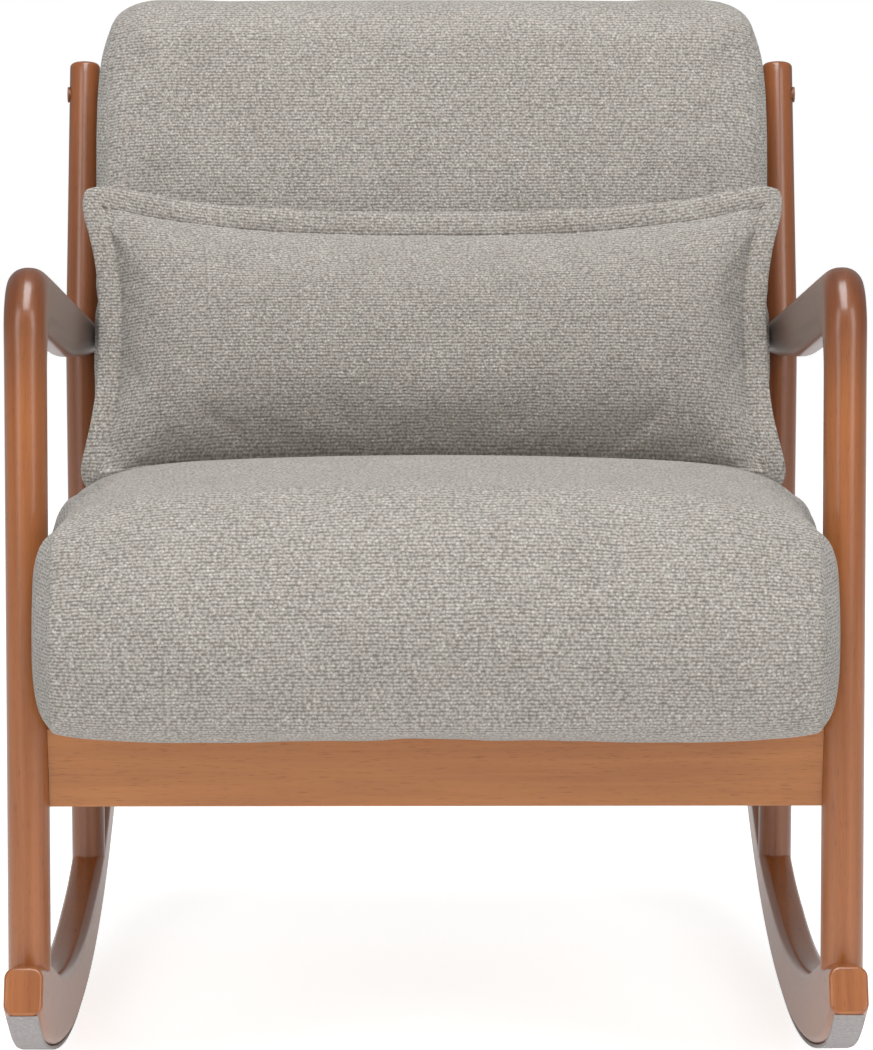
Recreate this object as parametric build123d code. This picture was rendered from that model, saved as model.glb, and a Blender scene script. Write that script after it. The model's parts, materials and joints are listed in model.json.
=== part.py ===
from build123d import *
import math
import os

# A rocking chair: two bentwood-style rockers, round legs, swept arms, a thick upholstered
# seat, an upholstered back and a loose lumbar pillow.
#
# Frame of the model: +Z up, the chair faces -Y, +X is the sitter's left. The parts are laid out
# with Y = 0 at the front legs and the floor at Z = 0, and moved at the end so that the origin is
# at the bottom centre of the whole chair.

# Stance
LEG_SPACING = 630.0           # between the centres of the left and right legs
FRONT_FOOT_Y = -8.0           # front leg's centre where it stands on the rocker
FRONT_LEG_LEAN = 4.0          # degrees the front leg leans back
POST_Y = 556.0                # rear post's centre below its bend
POST_BEND_HEIGHT = 553.0
POST_TOP_HEIGHT = 809.0
BACK_RAKE = 14.5              # degrees the posts' upper part and the back lean back

# Rockers
ROCK_RADIUS = 895.0           # of the wood's underside
ROCK_CONTACT_Y = 290.0        # where the chair stands at rest, behind the front legs
ROCKER_WIDTH = 30.0
ROCKER_EDGE_RADIUS = 8.5
ROCKER_END_RADIUS = 2.5
TOE_ANGLE = -18.4             # degrees along the arc where the toe starts to curl up
TOE_RADIUS = 229.0
TOE_TURN = 21.5               # degrees the toe curls
TOE_DEPTH = 37.5
TOE_FACE_TILT = 25.0
HEEL_ANGLE = 31.0
HEEL_DEPTH = 36.0
ROCKER_DEPTHS = [(-18.0, 63.5), (-10.0, 55.5), (0.0, 51.5), (9.0, 47.0), (18.5, 39.0)]
FELT_THICKNESS = 3.0
FELT_WIDTH = 24.0

# Legs, posts and arms
FRONT_LEG_DIAMETER = 33.0
POST_DIAMETER = 30.0
POST_TOP_DIAMETER = 27.0
POST_BEND_RADIUS = 160.0
POST_TOP_EDGE = 4.0
FOOT_SINK = 5.0               # how far a leg's end is coped over its rocker
ARM_TOP_HEIGHT = 657.0        # top line of the arm, carried forward to the leg's centre
ARM_DROP = 9.3                # degrees the arm slopes down to the rear
ARM_WIDTH = 33.0
ARM_DEPTH = 48.0
ARM_REAR_DEPTH = 33.0
ARM_TAPER_Y = 355.0           # behind this the arm's underside tapers to the post
ARM_TAPER_BLEND = 600.0
ARM_EDGE_RADIUS = 15.0
ELBOW_OUTER_RADIUS = 46.0
ELBOW_INNER_RADIUS = 26.0
ARM_JOINT_HEIGHT = 560.0      # where the arm's elbow is joined to the front leg

# Rails under the seat
RAIL_BOTTOM = 239.0
RAIL_HEIGHT = 62.0
RAIL_THICKNESS = 22.0
RAIL_EDGE_RADIUS = 2.0
FRONT_RAIL_SETBACK = 7.0      # of the front rail's middle, behind the leg's centre
CORNER_BLOCK_SIDE = 62.0
CORNER_BLOCK_HEIGHT = 40.0

# Seat
CUSHION_GAP = 18.0            # from a cushion's side to the legs' centre line
COVER_THICKNESS = 3.0
SEAT_FRONT_Y = -104.0
SEAT_FRONT_TOP_Y = -62.0
SEAT_CREST_Y = 70.0
SEAT_CREST_HEIGHT = 491.0
SEAT_REAR_HEIGHT = 446.0
SEAT_SHOULDER_DROP = 24.0     # front edge of the top below the crest
SEAT_EDGE_RADIUS = 34.0
SEAT_FRAME_GAP = 25.0         # from the seat frame's side to the legs' centre line
SEAT_FRAME_BAR = 42.0
SEAT_FRAME_THICKNESS = 25.0
SEAT_FRAME_FRONT_Y = -16.0
SEAT_STRAPS = 5

# Back
BACK_LIFT = 9.17              # of the back's lower edge over the seat frame, at the posts
BACK_TOP = 297.0              # along the back from the posts' bend
BACK_FRONT = 122.0            # front face, before the posts' centre line
BACK_REAR = -13.0
BACK_CORNER_RADIUS = 42.0
BACK_EDGE_RADIUS = 26.0
BACK_FRAME_THICKNESS = 42.0
BACK_FRAME_BAR = 30.0
BACK_STRAPS = 4
BACK_BOLT_DROP = 38.42        # along the back from the posts' top
STRAP_WIDTH = 50.0
STRAP_THICKNESS = 2.0

# Pillow
PILLOW_GAP = 19.0             # from the pillow's side to the legs' centre line
PILLOW_HEIGHT = 241.0
PILLOW_THICKNESS = 96.0
PILLOW_BOTTOM = -143.0        # along the back from the posts' bend
PILLOW_FLANGE = 19.0
FLANGE_THICKNESS = 5.0
PILLOW_EDGE_RADIUS = 44.0
PILLOW_CORNER_RADIUS = 30.0

# Fixings and clearances
DOWEL_DIAMETER = 8.0
DOWEL_LENGTH = 50.0
END_DOWEL_INSET = 12.0        # front and rear rails' dowels, from the rail's top and bottom
SIDE_DOWEL_INSET = 24.0       # side rails' dowels, which pass between the others in the legs
BOLT_DIAMETER = 8.0
BOLT_LENGTH = 50.0
CAP_DIAMETER = 14.0
CAP_HEIGHT = 1.6
CAP_STEM = 6.0
NUT_DIAMETER = 12.0
NUT_LENGTH = 18.0
SCREW_DIAMETER = 5.0
SCREW_HEAD_DIAMETER = 9.0
SCREW_HEAD_HEIGHT = 3.0
SCREW_BITE = 18.0             # of a screw into the last piece
HOLE_CLEARANCE = 0.15
COVER_CLEARANCE = 0.3
SOFT_CLEARANCE = 1.0

LEG_X = LEG_SPACING / 2
CUSHION_WIDTH = LEG_SPACING - 2 * CUSHION_GAP
SEAT_FRAME_WIDTH = LEG_SPACING - 2 * SEAT_FRAME_GAP
PILLOW_WIDTH = LEG_SPACING - 2 * PILLOW_GAP
RAIL_TOP = RAIL_BOTTOM + RAIL_HEIGHT
SEAT_FRAME_TOP = RAIL_TOP + SEAT_FRAME_THICKNESS
SEAT_BOTTOM = RAIL_TOP + 2.0
ROCK_CENTRE = (ROCK_CONTACT_Y, ROCK_RADIUS + FELT_THICKNESS)
RAKE = math.radians(BACK_RAKE)
POST_TOP = (POST_TOP_HEIGHT - POST_BEND_HEIGHT) / math.cos(RAKE)
BACK_BOLT_HEIGHT = POST_TOP - BACK_BOLT_DROP
BACK_BOTTOM = (SEAT_FRAME_TOP + BACK_LIFT - POST_BEND_HEIGHT) / math.cos(RAKE)
BACK_PLANE = Plane(
    origin=(0, POST_Y, POST_BEND_HEIGHT),
    x_dir=(1, 0, 0),
    z_dir=(0, -math.cos(RAKE), math.sin(RAKE)),
)

nodes = {}


# Helpers

def rod(start, end, diameter, end_diameter=None):
    """A round bar between two points, which may taper."""
    start = Vector(start)
    run = Vector(end) - start
    plane = Plane(origin=start, z_dir=run)
    along = (Align.CENTER, Align.CENTER, Align.MIN)
    if end_diameter is None:
        return plane * Cylinder(diameter / 2, run.length, align=along)
    return plane * Cone(diameter / 2, end_diameter / 2, run.length, align=along)


def side_plate(outline, width, x=0.0):
    """An outline in the side view (Y, Z), made width wide about x."""
    face = Plane.YZ * make_face(outline)
    return Pos(x, 0, 0) * extrude(face, amount=width / 2, both=True)


def round_corner(sketch, point, radius):
    """The sketch with its corner nearest to the point rounded."""
    corner = sketch.vertices().sort_by_distance(Vector(*point))[0]
    return fillet(corner, radius)


def on_arc(centre, radius, angle):
    """A side-view point at an angle behind the lowest point of a circle."""
    turn = math.radians(angle)
    return (centre[0] + radius * math.sin(turn), centre[1] - radius * math.cos(turn))


def other_side(shape):
    return mirror(shape, about=Plane.YZ)


def both_sides(name, shape):
    """The node for the sitter's left side, and its mirror image for the right."""
    nodes[name + "_left"] = shape
    nodes[name + "_right"] = other_side(shape)


def all_sides(shapes):
    """Shapes of the left side and their mirror images, as one list."""
    return shapes + [other_side(shape) for shape in shapes]


# Lines that several parts follow

def leg_y(height):
    """Centre of the front leg at a height."""
    return FRONT_FOOT_Y + (height - rocker_top(FRONT_FOOT_Y)) * math.tan(math.radians(FRONT_LEG_LEAN))


def arm_top(y):
    """Height of the arm's top line."""
    return ARM_TOP_HEIGHT - (y - leg_y(ARM_TOP_HEIGHT)) * math.tan(math.radians(ARM_DROP))


def rocker_depth(angle):
    """Depth of the rocker at an angle along its arc, between the depths given for it."""
    stations = ROCKER_DEPTHS + [(HEEL_ANGLE, HEEL_DEPTH)]
    for (low, low_depth), (high, high_depth) in zip(stations, stations[1:]):
        if angle <= high:
            break
    share = max(0.0, (angle - low) / (high - low))
    return low_depth + share * (high_depth - low_depth)


def rocker_angle(y):
    return math.degrees(math.asin((y - ROCK_CONTACT_Y) / (ROCK_RADIUS - rocker_depth(0.0))))


def rocker_top(y):
    """Height of the rocker's top edge under a leg."""
    angle = rocker_angle(y)
    return on_arc(ROCK_CENTRE, ROCK_RADIUS - rocker_depth(angle), angle)[1]


def foot_plane(y):
    """The plane that a leg's end is cut to, just below the rocker's top."""
    turn = math.radians(rocker_angle(y))
    normal = (0, -math.sin(turn), math.cos(turn))
    return Plane(origin=(LEG_X, y, rocker_top(y) - FOOT_SINK), z_dir=normal)


def back_point(x, up, forward):
    """A point given along the back: across, up from the bend, forward of the posts."""
    return BACK_PLANE.from_local_coords(Vector(x, up, forward))


# Rockers and their felt strips

def sole(drop):
    """The rocker's underside, heel to toe, moved down by a drop."""
    toe_centre = on_arc(ROCK_CENTRE, ROCK_RADIUS - TOE_RADIUS, TOE_ANGLE)
    stretches = [
        (ROCK_CENTRE, ROCK_RADIUS + drop, HEEL_ANGLE, TOE_ANGLE),
        (toe_centre, TOE_RADIUS + drop, TOE_ANGLE, TOE_ANGLE - TOE_TURN),
    ]
    return [
        ThreePointArc(*[on_arc(centre, radius, angle) for angle in (start, (start + end) / 2, end)])
        for centre, radius, start, end in stretches
    ]


def make_rocker():
    underside = sole(0.0)
    heel = underside[0] @ 0
    toe = underside[1] @ 1
    tilt = math.radians(TOE_FACE_TILT)
    toe_top = (toe.X + TOE_DEPTH * math.sin(tilt), toe.Y + TOE_DEPTH * math.cos(tilt))
    heel_top = on_arc(ROCK_CENTRE, ROCK_RADIUS - HEEL_DEPTH, HEEL_ANGLE)
    crown = [on_arc(ROCK_CENTRE, ROCK_RADIUS - depth, angle) for angle, depth in ROCKER_DEPTHS]
    outline = underside + [
        Line(toe, toe_top),
        Spline(toe_top, *crown, heel_top),
        Line(heel_top, heel),
    ]
    rocker = side_plate(outline, ROCKER_WIDTH, LEG_X)
    sides = rocker.faces().filter_by(Axis.X)
    rocker = fillet(sides.edges().filter_by(lambda edge: edge.length > 1.5 * TOE_DEPTH), ROCKER_EDGE_RADIUS)
    ends = rocker.faces().filter_by(GeomType.PLANE).filter_by(Axis.X, reverse=True)
    ends = ends.filter_by(lambda face: face.area > 0.5 * ROCKER_WIDTH * HEEL_DEPTH)
    return fillet(ends.edges(), ROCKER_END_RADIUS)


def make_felt():
    upper = sole(0.0)
    lower = sole(FELT_THICKNESS)
    ends = [Line(upper[0] @ 0, lower[0] @ 0), Line(upper[1] @ 1, lower[1] @ 1)]
    return side_plate(upper + lower + ends, FELT_WIDTH, LEG_X)


# Legs, posts and arms

def make_front_leg(rocker):
    low = RAIL_BOTTOM / 4
    top = (LEG_X, leg_y(ARM_JOINT_HEIGHT), ARM_JOINT_HEIGHT)
    blank = rod((LEG_X, leg_y(low), low), top, FRONT_LEG_DIAMETER)
    return split(blank, foot_plane(FRONT_FOOT_Y), Keep.TOP) - rocker


def make_post(rocker):
    """The rear leg, which bends back above the arm and is a little slimmer at its top."""
    tangent = POST_BEND_RADIUS * math.tan(RAKE / 2)
    bend_start = Vector(LEG_X, POST_Y, POST_BEND_HEIGHT - tangent)
    bend_end = back_point(LEG_X, tangent, 0)
    bend_line = TangentArc(bend_start, bend_end, tangent=(0, 0, 1))
    bend = sweep(Plane(origin=bend_start, z_dir=(0, 0, 1)) * Circle(POST_DIAMETER / 2), bend_line)
    top = back_point(LEG_X, POST_TOP, 0)
    upper = rod(bend_end, top, POST_DIAMETER, POST_TOP_DIAMETER)
    upper = fillet(upper.edges().sort_by(Axis.Z)[-1], POST_TOP_EDGE)
    lower = rod((LEG_X, POST_Y, rocker_top(POST_Y) / 2), bend_start, POST_DIAMETER)
    lower = split(lower, foot_plane(POST_Y), Keep.TOP)
    return lower + bend + upper - rocker


def make_arm(post):
    """The arm, with the elbow that carries it down to the front leg."""
    lean = math.radians(FRONT_LEG_LEAN)
    radius = FRONT_LEG_DIAMETER / 2
    joint = Vector(leg_y(ARM_JOINT_HEIGHT), ARM_JOINT_HEIGHT)
    across = Vector(math.cos(lean), -math.sin(lean)) * radius
    front = joint - across
    rear = joint + across

    def meets_leg(start, drop):
        """Where a leg's side line meets a line that runs drop below the arm's top."""
        slope = math.tan(math.radians(ARM_DROP))
        rise = (arm_top(start.X) - drop - start.Y) / (1 + slope * math.tan(lean))
        return Vector(start.X + rise * math.tan(lean), start.Y + rise)

    elbow = meets_leg(front, 0.0)
    armpit = meets_leg(rear, ARM_DEPTH)
    rear_y = POST_Y - POST_DIAMETER / 4
    taper = Vector(ARM_TAPER_Y, arm_top(ARM_TAPER_Y) - ARM_DEPTH)
    corners = [
        front,
        elbow,
        Vector(rear_y, arm_top(rear_y)),
        Vector(rear_y, arm_top(rear_y) - ARM_REAR_DEPTH),
        taper,
        armpit,
        rear,
    ]
    outline = make_face(Polyline(*corners, close=True))
    outline = round_corner(outline, elbow, ELBOW_OUTER_RADIUS)
    outline = round_corner(outline, armpit, ELBOW_INNER_RADIUS)
    outline = round_corner(outline, taper, ARM_TAPER_BLEND)
    arm = side_plate(outline.edges(), ARM_WIDTH, LEG_X)
    long_edges = arm.faces().filter_by(Axis.X).edges().filter_by(
        lambda edge: abs(edge.center().Y - rear_y) > 1 and abs(edge.center().Z - joint.Y) > 2
    )
    return fillet(long_edges, ARM_EDGE_RADIUS) - post


# Rails

def rail_block(width, depth, y):
    """A rail's blank, with its long lower edges eased."""
    rail = Pos(0, y, RAIL_BOTTOM + RAIL_HEIGHT / 2) * Box(width, depth, RAIL_HEIGHT)
    along = Axis.X if width > depth else Axis.Y
    return fillet(rail.edges().filter_by(along), RAIL_EDGE_RADIUS)


def front_rail_y():
    """Where the middle of the front rail's thickness is."""
    return leg_y(RAIL_BOTTOM + RAIL_HEIGHT / 2) + FRONT_RAIL_SETBACK


def make_rails(leg, post):
    front_y = front_rail_y()
    front = rail_block(LEG_SPACING - RAIL_THICKNESS, RAIL_THICKNESS, front_y) - leg - other_side(leg)
    rear = rail_block(LEG_SPACING, RAIL_THICKNESS, POST_Y) - post - other_side(post)
    side = Pos(LEG_X, 0, 0) * rail_block(RAIL_THICKNESS, POST_Y - front_y, (POST_Y + front_y) / 2)
    return front, rear, side - leg - post - front - rear


def make_corner_block(y, inward, leg):
    """A triangular block in a corner of the rails; inward is +1 behind the front rail."""
    x = LEG_X - RAIL_THICKNESS / 2 - HOLE_CLEARANCE
    y = y + inward * (RAIL_THICKNESS / 2 + HOLE_CLEARANCE)
    side = CORNER_BLOCK_SIDE
    corners = [(x, y), (x - side, y), (x, y + inward * side)]
    block = extrude(make_face(Polyline(*corners, close=True)), CORNER_BLOCK_HEIGHT)
    return Pos(0, 0, RAIL_TOP - CORNER_BLOCK_HEIGHT) * block - leg


# Seat

def back_face_y(height):
    """Where the front face of the back is at a height."""
    up = (height - POST_BEND_HEIGHT - BACK_FRONT * math.sin(RAKE)) / math.cos(RAKE)
    return back_point(0, up, BACK_FRONT).Y


def seat_form(inset):
    """The seat cushion's outer shape, or the same shape an inset smaller all round."""
    rear_top = (back_face_y(SEAT_REAR_HEIGHT) - SOFT_CLEARANCE, SEAT_REAR_HEIGHT)
    rear_bottom = (back_face_y(SEAT_BOTTOM) - SOFT_CLEARANCE, SEAT_BOTTOM)
    corners = [
        (SEAT_FRONT_Y + 10, SEAT_BOTTOM),
        (SEAT_FRONT_Y, SEAT_BOTTOM + 62),
        (SEAT_FRONT_TOP_Y, SEAT_CREST_HEIGHT - SEAT_SHOULDER_DROP),
        (SEAT_CREST_Y, SEAT_CREST_HEIGHT),
        rear_top,
        rear_bottom,
    ]
    outline = make_face(Polyline(*corners, close=True))
    if inset:
        outline = offset(outline, -inset, kind=Kind.INTERSECTION)
    form = side_plate(outline.edges(), CUSHION_WIDTH - 2 * inset)
    upper = form.edges().filter_by(lambda edge: edge.center().Z > SEAT_BOTTOM + inset + 1)
    upper = upper.filter_by(lambda edge: edge.center().Y < rear_bottom[0] - inset - 2)
    side_edges = upper.filter_by(lambda edge: abs(edge.center().X) > 1)
    return fillet(side_edges, SEAT_EDGE_RADIUS - inset)


def make_seat_frame():
    """Two long bars on the rails with three bars across between them."""
    rear_y = POST_Y + RAIL_THICKNESS / 2
    height = RAIL_TOP + SEAT_FRAME_THICKNESS / 2
    side_x = (SEAT_FRAME_WIDTH - SEAT_FRAME_BAR) / 2
    length = rear_y - SEAT_FRAME_FRONT_Y
    bar = Box(SEAT_FRAME_BAR, length, SEAT_FRAME_THICKNESS)
    side = Pos(side_x, SEAT_FRAME_FRONT_Y + length / 2, height) * bar
    across = SEAT_FRAME_WIDTH - 2 * SEAT_FRAME_BAR
    middle_y = back_face_y(SEAT_BOTTOM) - SOFT_CLEARANCE - COVER_THICKNESS - SEAT_FRAME_BAR
    starts = {"front": SEAT_FRAME_FRONT_Y, "middle": middle_y, "rear": rear_y - SEAT_FRAME_BAR}
    bars = {
        name: Pos(0, y + SEAT_FRAME_BAR / 2, height) * Box(across, SEAT_FRAME_BAR, SEAT_FRAME_THICKNESS)
        for name, y in starts.items()
    }
    return side, bars, middle_y + SEAT_FRAME_BAR


def make_seat_straps(rear_y):
    """Elastic webbing, front to back over the frame."""
    length = rear_y - SEAT_FRAME_FRONT_Y
    pitch = (SEAT_FRAME_WIDTH - 2 * SEAT_FRAME_BAR) / SEAT_STRAPS
    height = SEAT_FRAME_TOP + STRAP_THICKNESS / 2
    strap = Pos(0, SEAT_FRAME_FRONT_Y + length / 2, height) * Box(STRAP_WIDTH, length, STRAP_THICKNESS)
    return [Pos((i - (SEAT_STRAPS - 1) / 2) * pitch, 0, 0) * strap for i in range(SEAT_STRAPS)]


def make_seat_upholstery():
    """The cover, and the foam inside it over the frame and the webbing."""
    rear_y = POST_Y + RAIL_THICKNESS
    width = SEAT_FRAME_WIDTH + 2 * COVER_CLEARANCE
    low = SEAT_BOTTOM - COVER_THICKNESS
    high = SEAT_FRAME_TOP + STRAP_THICKNESS + COVER_CLEARANCE
    front_y = SEAT_FRAME_FRONT_Y - COVER_CLEARANCE
    room = Pos(0, (front_y + rear_y) / 2, (low + high) / 2) * Box(width, rear_y - front_y, high - low)
    cover = seat_form(0.0) - seat_form(COVER_THICKNESS) - room
    foam = seat_form(COVER_THICKNESS) - room
    return cover, foam


# Back

def back_box(width, low, high, rear, front, x=0.0):
    """A block laid out along the back."""
    middle = Pos(x, (low + high) / 2, (rear + front) / 2)
    return BACK_PLANE * middle * Box(width, high - low, front - rear)


def back_form(inset):
    """The back cushion's outer shape, or the same shape an inset smaller all round."""
    width = CUSHION_WIDTH - 2 * inset
    height = BACK_TOP - BACK_BOTTOM - 2 * inset
    middle = (BACK_TOP + BACK_BOTTOM) / 2
    face = Pos(0, middle, BACK_REAR + inset) * Rectangle(width, height)
    face = fillet(face.vertices(), BACK_CORNER_RADIUS - inset)
    form = extrude(face, BACK_FRONT - BACK_REAR - 2 * inset)
    front_edges = form.faces().sort_by(Axis.Z)[-1].edges()
    return BACK_PLANE * fillet(front_edges, BACK_EDGE_RADIUS - inset)


def make_back_frame(bolt_hole):
    """Stiles that stand on the seat frame, and two rails between them."""
    rear = BACK_REAR + COVER_THICKNESS + COVER_CLEARANCE
    front = rear + BACK_FRAME_THICKNESS
    outer = CUSHION_WIDTH / 2 - COVER_THICKNESS - COVER_CLEARANCE
    top = BACK_TOP - BACK_CORNER_RADIUS
    low = back_point(0, 0, 0).Z - SEAT_FRAME_TOP
    stile = back_box(BACK_FRAME_BAR, -low * 1.2, top, rear, front, outer - BACK_FRAME_BAR / 2)
    seat_plane = Plane(origin=(0, 0, SEAT_FRAME_TOP), z_dir=(0, 0, 1))
    stile = split(stile, seat_plane, Keep.TOP) - bolt_hole
    across = 2 * (outer - BACK_FRAME_BAR)
    bars = {
        "top": back_box(across, top - BACK_FRAME_BAR, top, rear, front),
        "bottom": back_box(across, BACK_BOTTOM + 30, BACK_BOTTOM + 30 + BACK_FRAME_BAR, rear, front),
    }
    return stile, bars, front


def make_back_straps(front):
    """Elastic webbing across the front of the back's frame."""
    width = CUSHION_WIDTH - 2 * (COVER_THICKNESS + COVER_CLEARANCE)
    inset = BACK_CORNER_RADIUS + STRAP_WIDTH / 2
    low = BACK_BOTTOM + inset
    pitch = (BACK_TOP - inset - low) / (BACK_STRAPS - 1)
    return [
        back_box(width, low + i * pitch - STRAP_WIDTH / 2, low + i * pitch + STRAP_WIDTH / 2,
                 front, front + STRAP_THICKNESS)
        for i in range(BACK_STRAPS)
    ]


def make_back_upholstery(stile, straps_front, bolt_hole):
    """The cover all round, and the foam before the webbing."""
    inner = back_form(COVER_THICKNESS)
    stile_room = stile + other_side(stile)
    cover = back_form(0.0) - inner - bolt_hole - other_side(bolt_hole) - stile_room
    behind = back_box(CUSHION_WIDTH, BACK_BOTTOM, BACK_TOP, BACK_REAR, straps_front + COVER_CLEARANCE)
    return cover, inner - behind


# Lumbar pillow

def pillow_block(width, height, thickness, corner, edge):
    middle = Pos(0, PILLOW_BOTTOM + PILLOW_HEIGHT / 2, BACK_FRONT + SOFT_CLEARANCE + PILLOW_THICKNESS / 2)
    block = extrude(RectangleRounded(width, height, corner), thickness / 2, both=True)
    if edge:
        ends = block.faces().sort_by(Axis.Z)
        block = fillet(ends[0].edges() + ends[-1].edges(), edge)
    return BACK_PLANE * middle * block


def make_pillow():
    """The cover, with a flat flange all round, and the filling inside it."""
    width = PILLOW_WIDTH - 2 * PILLOW_FLANGE
    height = PILLOW_HEIGHT - 2 * PILLOW_FLANGE
    body = pillow_block(width, height, PILLOW_THICKNESS, PILLOW_EDGE_RADIUS + 2, PILLOW_EDGE_RADIUS)
    flange = pillow_block(PILLOW_WIDTH, PILLOW_HEIGHT, FLANGE_THICKNESS, PILLOW_CORNER_RADIUS, 0)
    wall = COVER_THICKNESS
    filling = pillow_block(width - 2 * wall, height - 2 * wall, PILLOW_THICKNESS - 2 * wall,
                           PILLOW_EDGE_RADIUS + 2 - wall, PILLOW_EDGE_RADIUS - wall)
    return body + flange - filling, filling


# Fixings

def dowel_at(point, direction):
    """A dowel centred on a joint, and the hole that takes it."""
    half = Vector(direction).normalized() * (DOWEL_LENGTH / 2)
    middle = Vector(point)
    hole_half = half * (1 + 2 * HOLE_CLEARANCE / DOWEL_LENGTH)
    dowel = rod(middle - half, middle + half, DOWEL_DIAMETER)
    hole = rod(middle - hole_half, middle + hole_half, DOWEL_DIAMETER + 2 * HOLE_CLEARANCE)
    return dowel, hole


def screw_up(x, y, low, length):
    """A screw driven upwards, its head below."""
    shank = rod((x, y, low), (x, y, low + length), SCREW_DIAMETER)
    head = rod((x, y, low - SCREW_HEAD_HEIGHT), (x, y, low), SCREW_HEAD_DIAMETER)
    return shank + head


def make_back_fixings():
    """The bolt through a post into the back's stile, its nut, its cap and their holes."""
    share = BACK_BOLT_HEIGHT / POST_TOP
    radius = (POST_DIAMETER + share * (POST_TOP_DIAMETER - POST_DIAMETER)) / 2

    def point(x):
        return back_point(x, BACK_BOLT_HEIGHT, 0)

    outside = LEG_X + radius
    seat = outside - CAP_STEM
    tip = seat - BOLT_LENGTH
    cap = rod(point(seat + COVER_CLEARANCE), point(outside), NUT_DIAMETER)
    cap += rod(point(outside), point(outside + CAP_HEIGHT), CAP_DIAMETER)
    bolt = rod(point(tip), point(seat), BOLT_DIAMETER)
    nut = rod(point(tip), point(tip + NUT_LENGTH), NUT_DIAMETER) - bolt
    hole = rod(point(tip), point(seat), BOLT_DIAMETER + 2 * HOLE_CLEARANCE)
    hole += rod(point(seat), point(outside + CAP_HEIGHT), NUT_DIAMETER + 2 * HOLE_CLEARANCE)
    nut_hole = rod(point(tip), point(tip + NUT_LENGTH), NUT_DIAMETER + 2 * HOLE_CLEARANCE)
    return bolt, nut, cap, hole, nut_hole


# The chair: the left side's parts, the parts shared by both sides, and what joins them

rocker = make_rocker()
front_leg = make_front_leg(rocker)
post = make_post(rocker)
front_rail, rear_rail, side_rail = make_rails(front_leg, post)
seat_bar, seat_cross_bars, straps_rear_y = make_seat_frame()
bolt, nut, cap, bolt_hole, nut_hole = make_back_fixings()
stile, back_bars, straps_rear = make_back_frame(bolt_hole + nut_hole)
seat_cover, seat_foam = make_seat_upholstery()
back_cover, back_foam = make_back_upholstery(stile, straps_rear + STRAP_THICKNESS, bolt_hole)
pillow_cover, pillow_filling = make_pillow()

rail_y = front_rail_y()
left = {
    "rocker": rocker,
    "felt_strip": make_felt(),
    "front_leg": front_leg,
    "arm": make_arm(post),
    "post": post - bolt_hole,
    "side_rail": side_rail,
    "front_corner_block": make_corner_block(rail_y, 1, front_leg),
    "rear_corner_block": make_corner_block(POST_Y, -1, post),
    "seat_frame_side": seat_bar,
    "back_stile": stile,
}
shared = {"front_rail": front_rail, "rear_rail": rear_rail}

# Dowels: where each is, which way it runs, and the two parts that it joins
lean = math.radians(FRONT_LEG_LEAN)
up_the_leg = (0, math.sin(lean), math.cos(lean))
arm_rear_y = POST_Y - POST_DIAMETER / 2 - DOWEL_LENGTH / 4
arm_rear_height = arm_top(arm_rear_y) - ARM_REAR_DEPTH / 2
joints = [
    ((LEG_X, FRONT_FOOT_Y, rocker_top(FRONT_FOOT_Y)), up_the_leg, ["rocker", "front_leg"]),
    ((LEG_X, POST_Y, rocker_top(POST_Y)), (0, 0, 1), ["rocker", "post"]),
    ((LEG_X, leg_y(ARM_JOINT_HEIGHT), ARM_JOINT_HEIGHT), up_the_leg, ["front_leg", "arm"]),
    ((LEG_X, arm_rear_y, arm_rear_height), (0, 1, 0), ["arm", "post"]),
]
for inset in (END_DOWEL_INSET, RAIL_HEIGHT - END_DOWEL_INSET):
    height = RAIL_BOTTOM + inset
    front_x = LEG_X - FRONT_LEG_DIAMETER / 2
    joints.append(((front_x, rail_y, height), (1, 0, 0), ["front_rail", "front_leg"]))
    joints.append(((LEG_X - POST_DIAMETER / 2, POST_Y, height), (1, 0, 0), ["rear_rail", "post"]))
for inset in (SIDE_DOWEL_INSET, RAIL_HEIGHT - SIDE_DOWEL_INSET):
    height = RAIL_BOTTOM + inset
    front_y = leg_y(height) + FRONT_LEG_DIAMETER / 2
    joints.append(((LEG_X, front_y, height), (0, 1, 0), ["side_rail", "front_leg"]))
    joints.append(((LEG_X, POST_Y - POST_DIAMETER / 2, height), (0, 1, 0), ["side_rail", "post"]))

dowels = []
for point, direction, joined in joints:
    dowel, hole = dowel_at(point, direction)
    dowels.append(dowel)
    for name in joined:
        if name in left:
            left[name] -= hole
        else:
            shared[name] = shared[name] - hole - other_side(hole)

# Screws: up through a corner block into the seat frame, and up through that into a stile
frame_x = (SEAT_FRAME_WIDTH - SEAT_FRAME_BAR) / 2
block_inset = RAIL_THICKNESS / 2 + CORNER_BLOCK_SIDE / 5
block_length = CORNER_BLOCK_HEIGHT + SCREW_BITE
stile_y = back_point(0, (SEAT_FRAME_TOP - POST_BEND_HEIGHT) / math.cos(RAKE), 0).Y
block_low = RAIL_TOP - CORNER_BLOCK_HEIGHT
screws = [
    (rail_y + block_inset, block_low, block_length, ["front_corner_block", "seat_frame_side"]),
    (POST_Y - block_inset, block_low, block_length, ["rear_corner_block", "seat_frame_side"]),
    (stile_y, RAIL_TOP, SEAT_FRAME_THICKNESS + 2 * SCREW_BITE, ["seat_frame_side", "back_stile"]),
]
frame_screws = []
for y, low, length, joined in screws:
    screw = screw_up(frame_x, y, low, length)
    frame_screws.append(screw)
    for name in joined:
        bore = SCREW_DIAMETER + 2 * HOLE_CLEARANCE
        left[name] -= rod((frame_x, y, low), (frame_x, y, low + length), bore)

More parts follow.
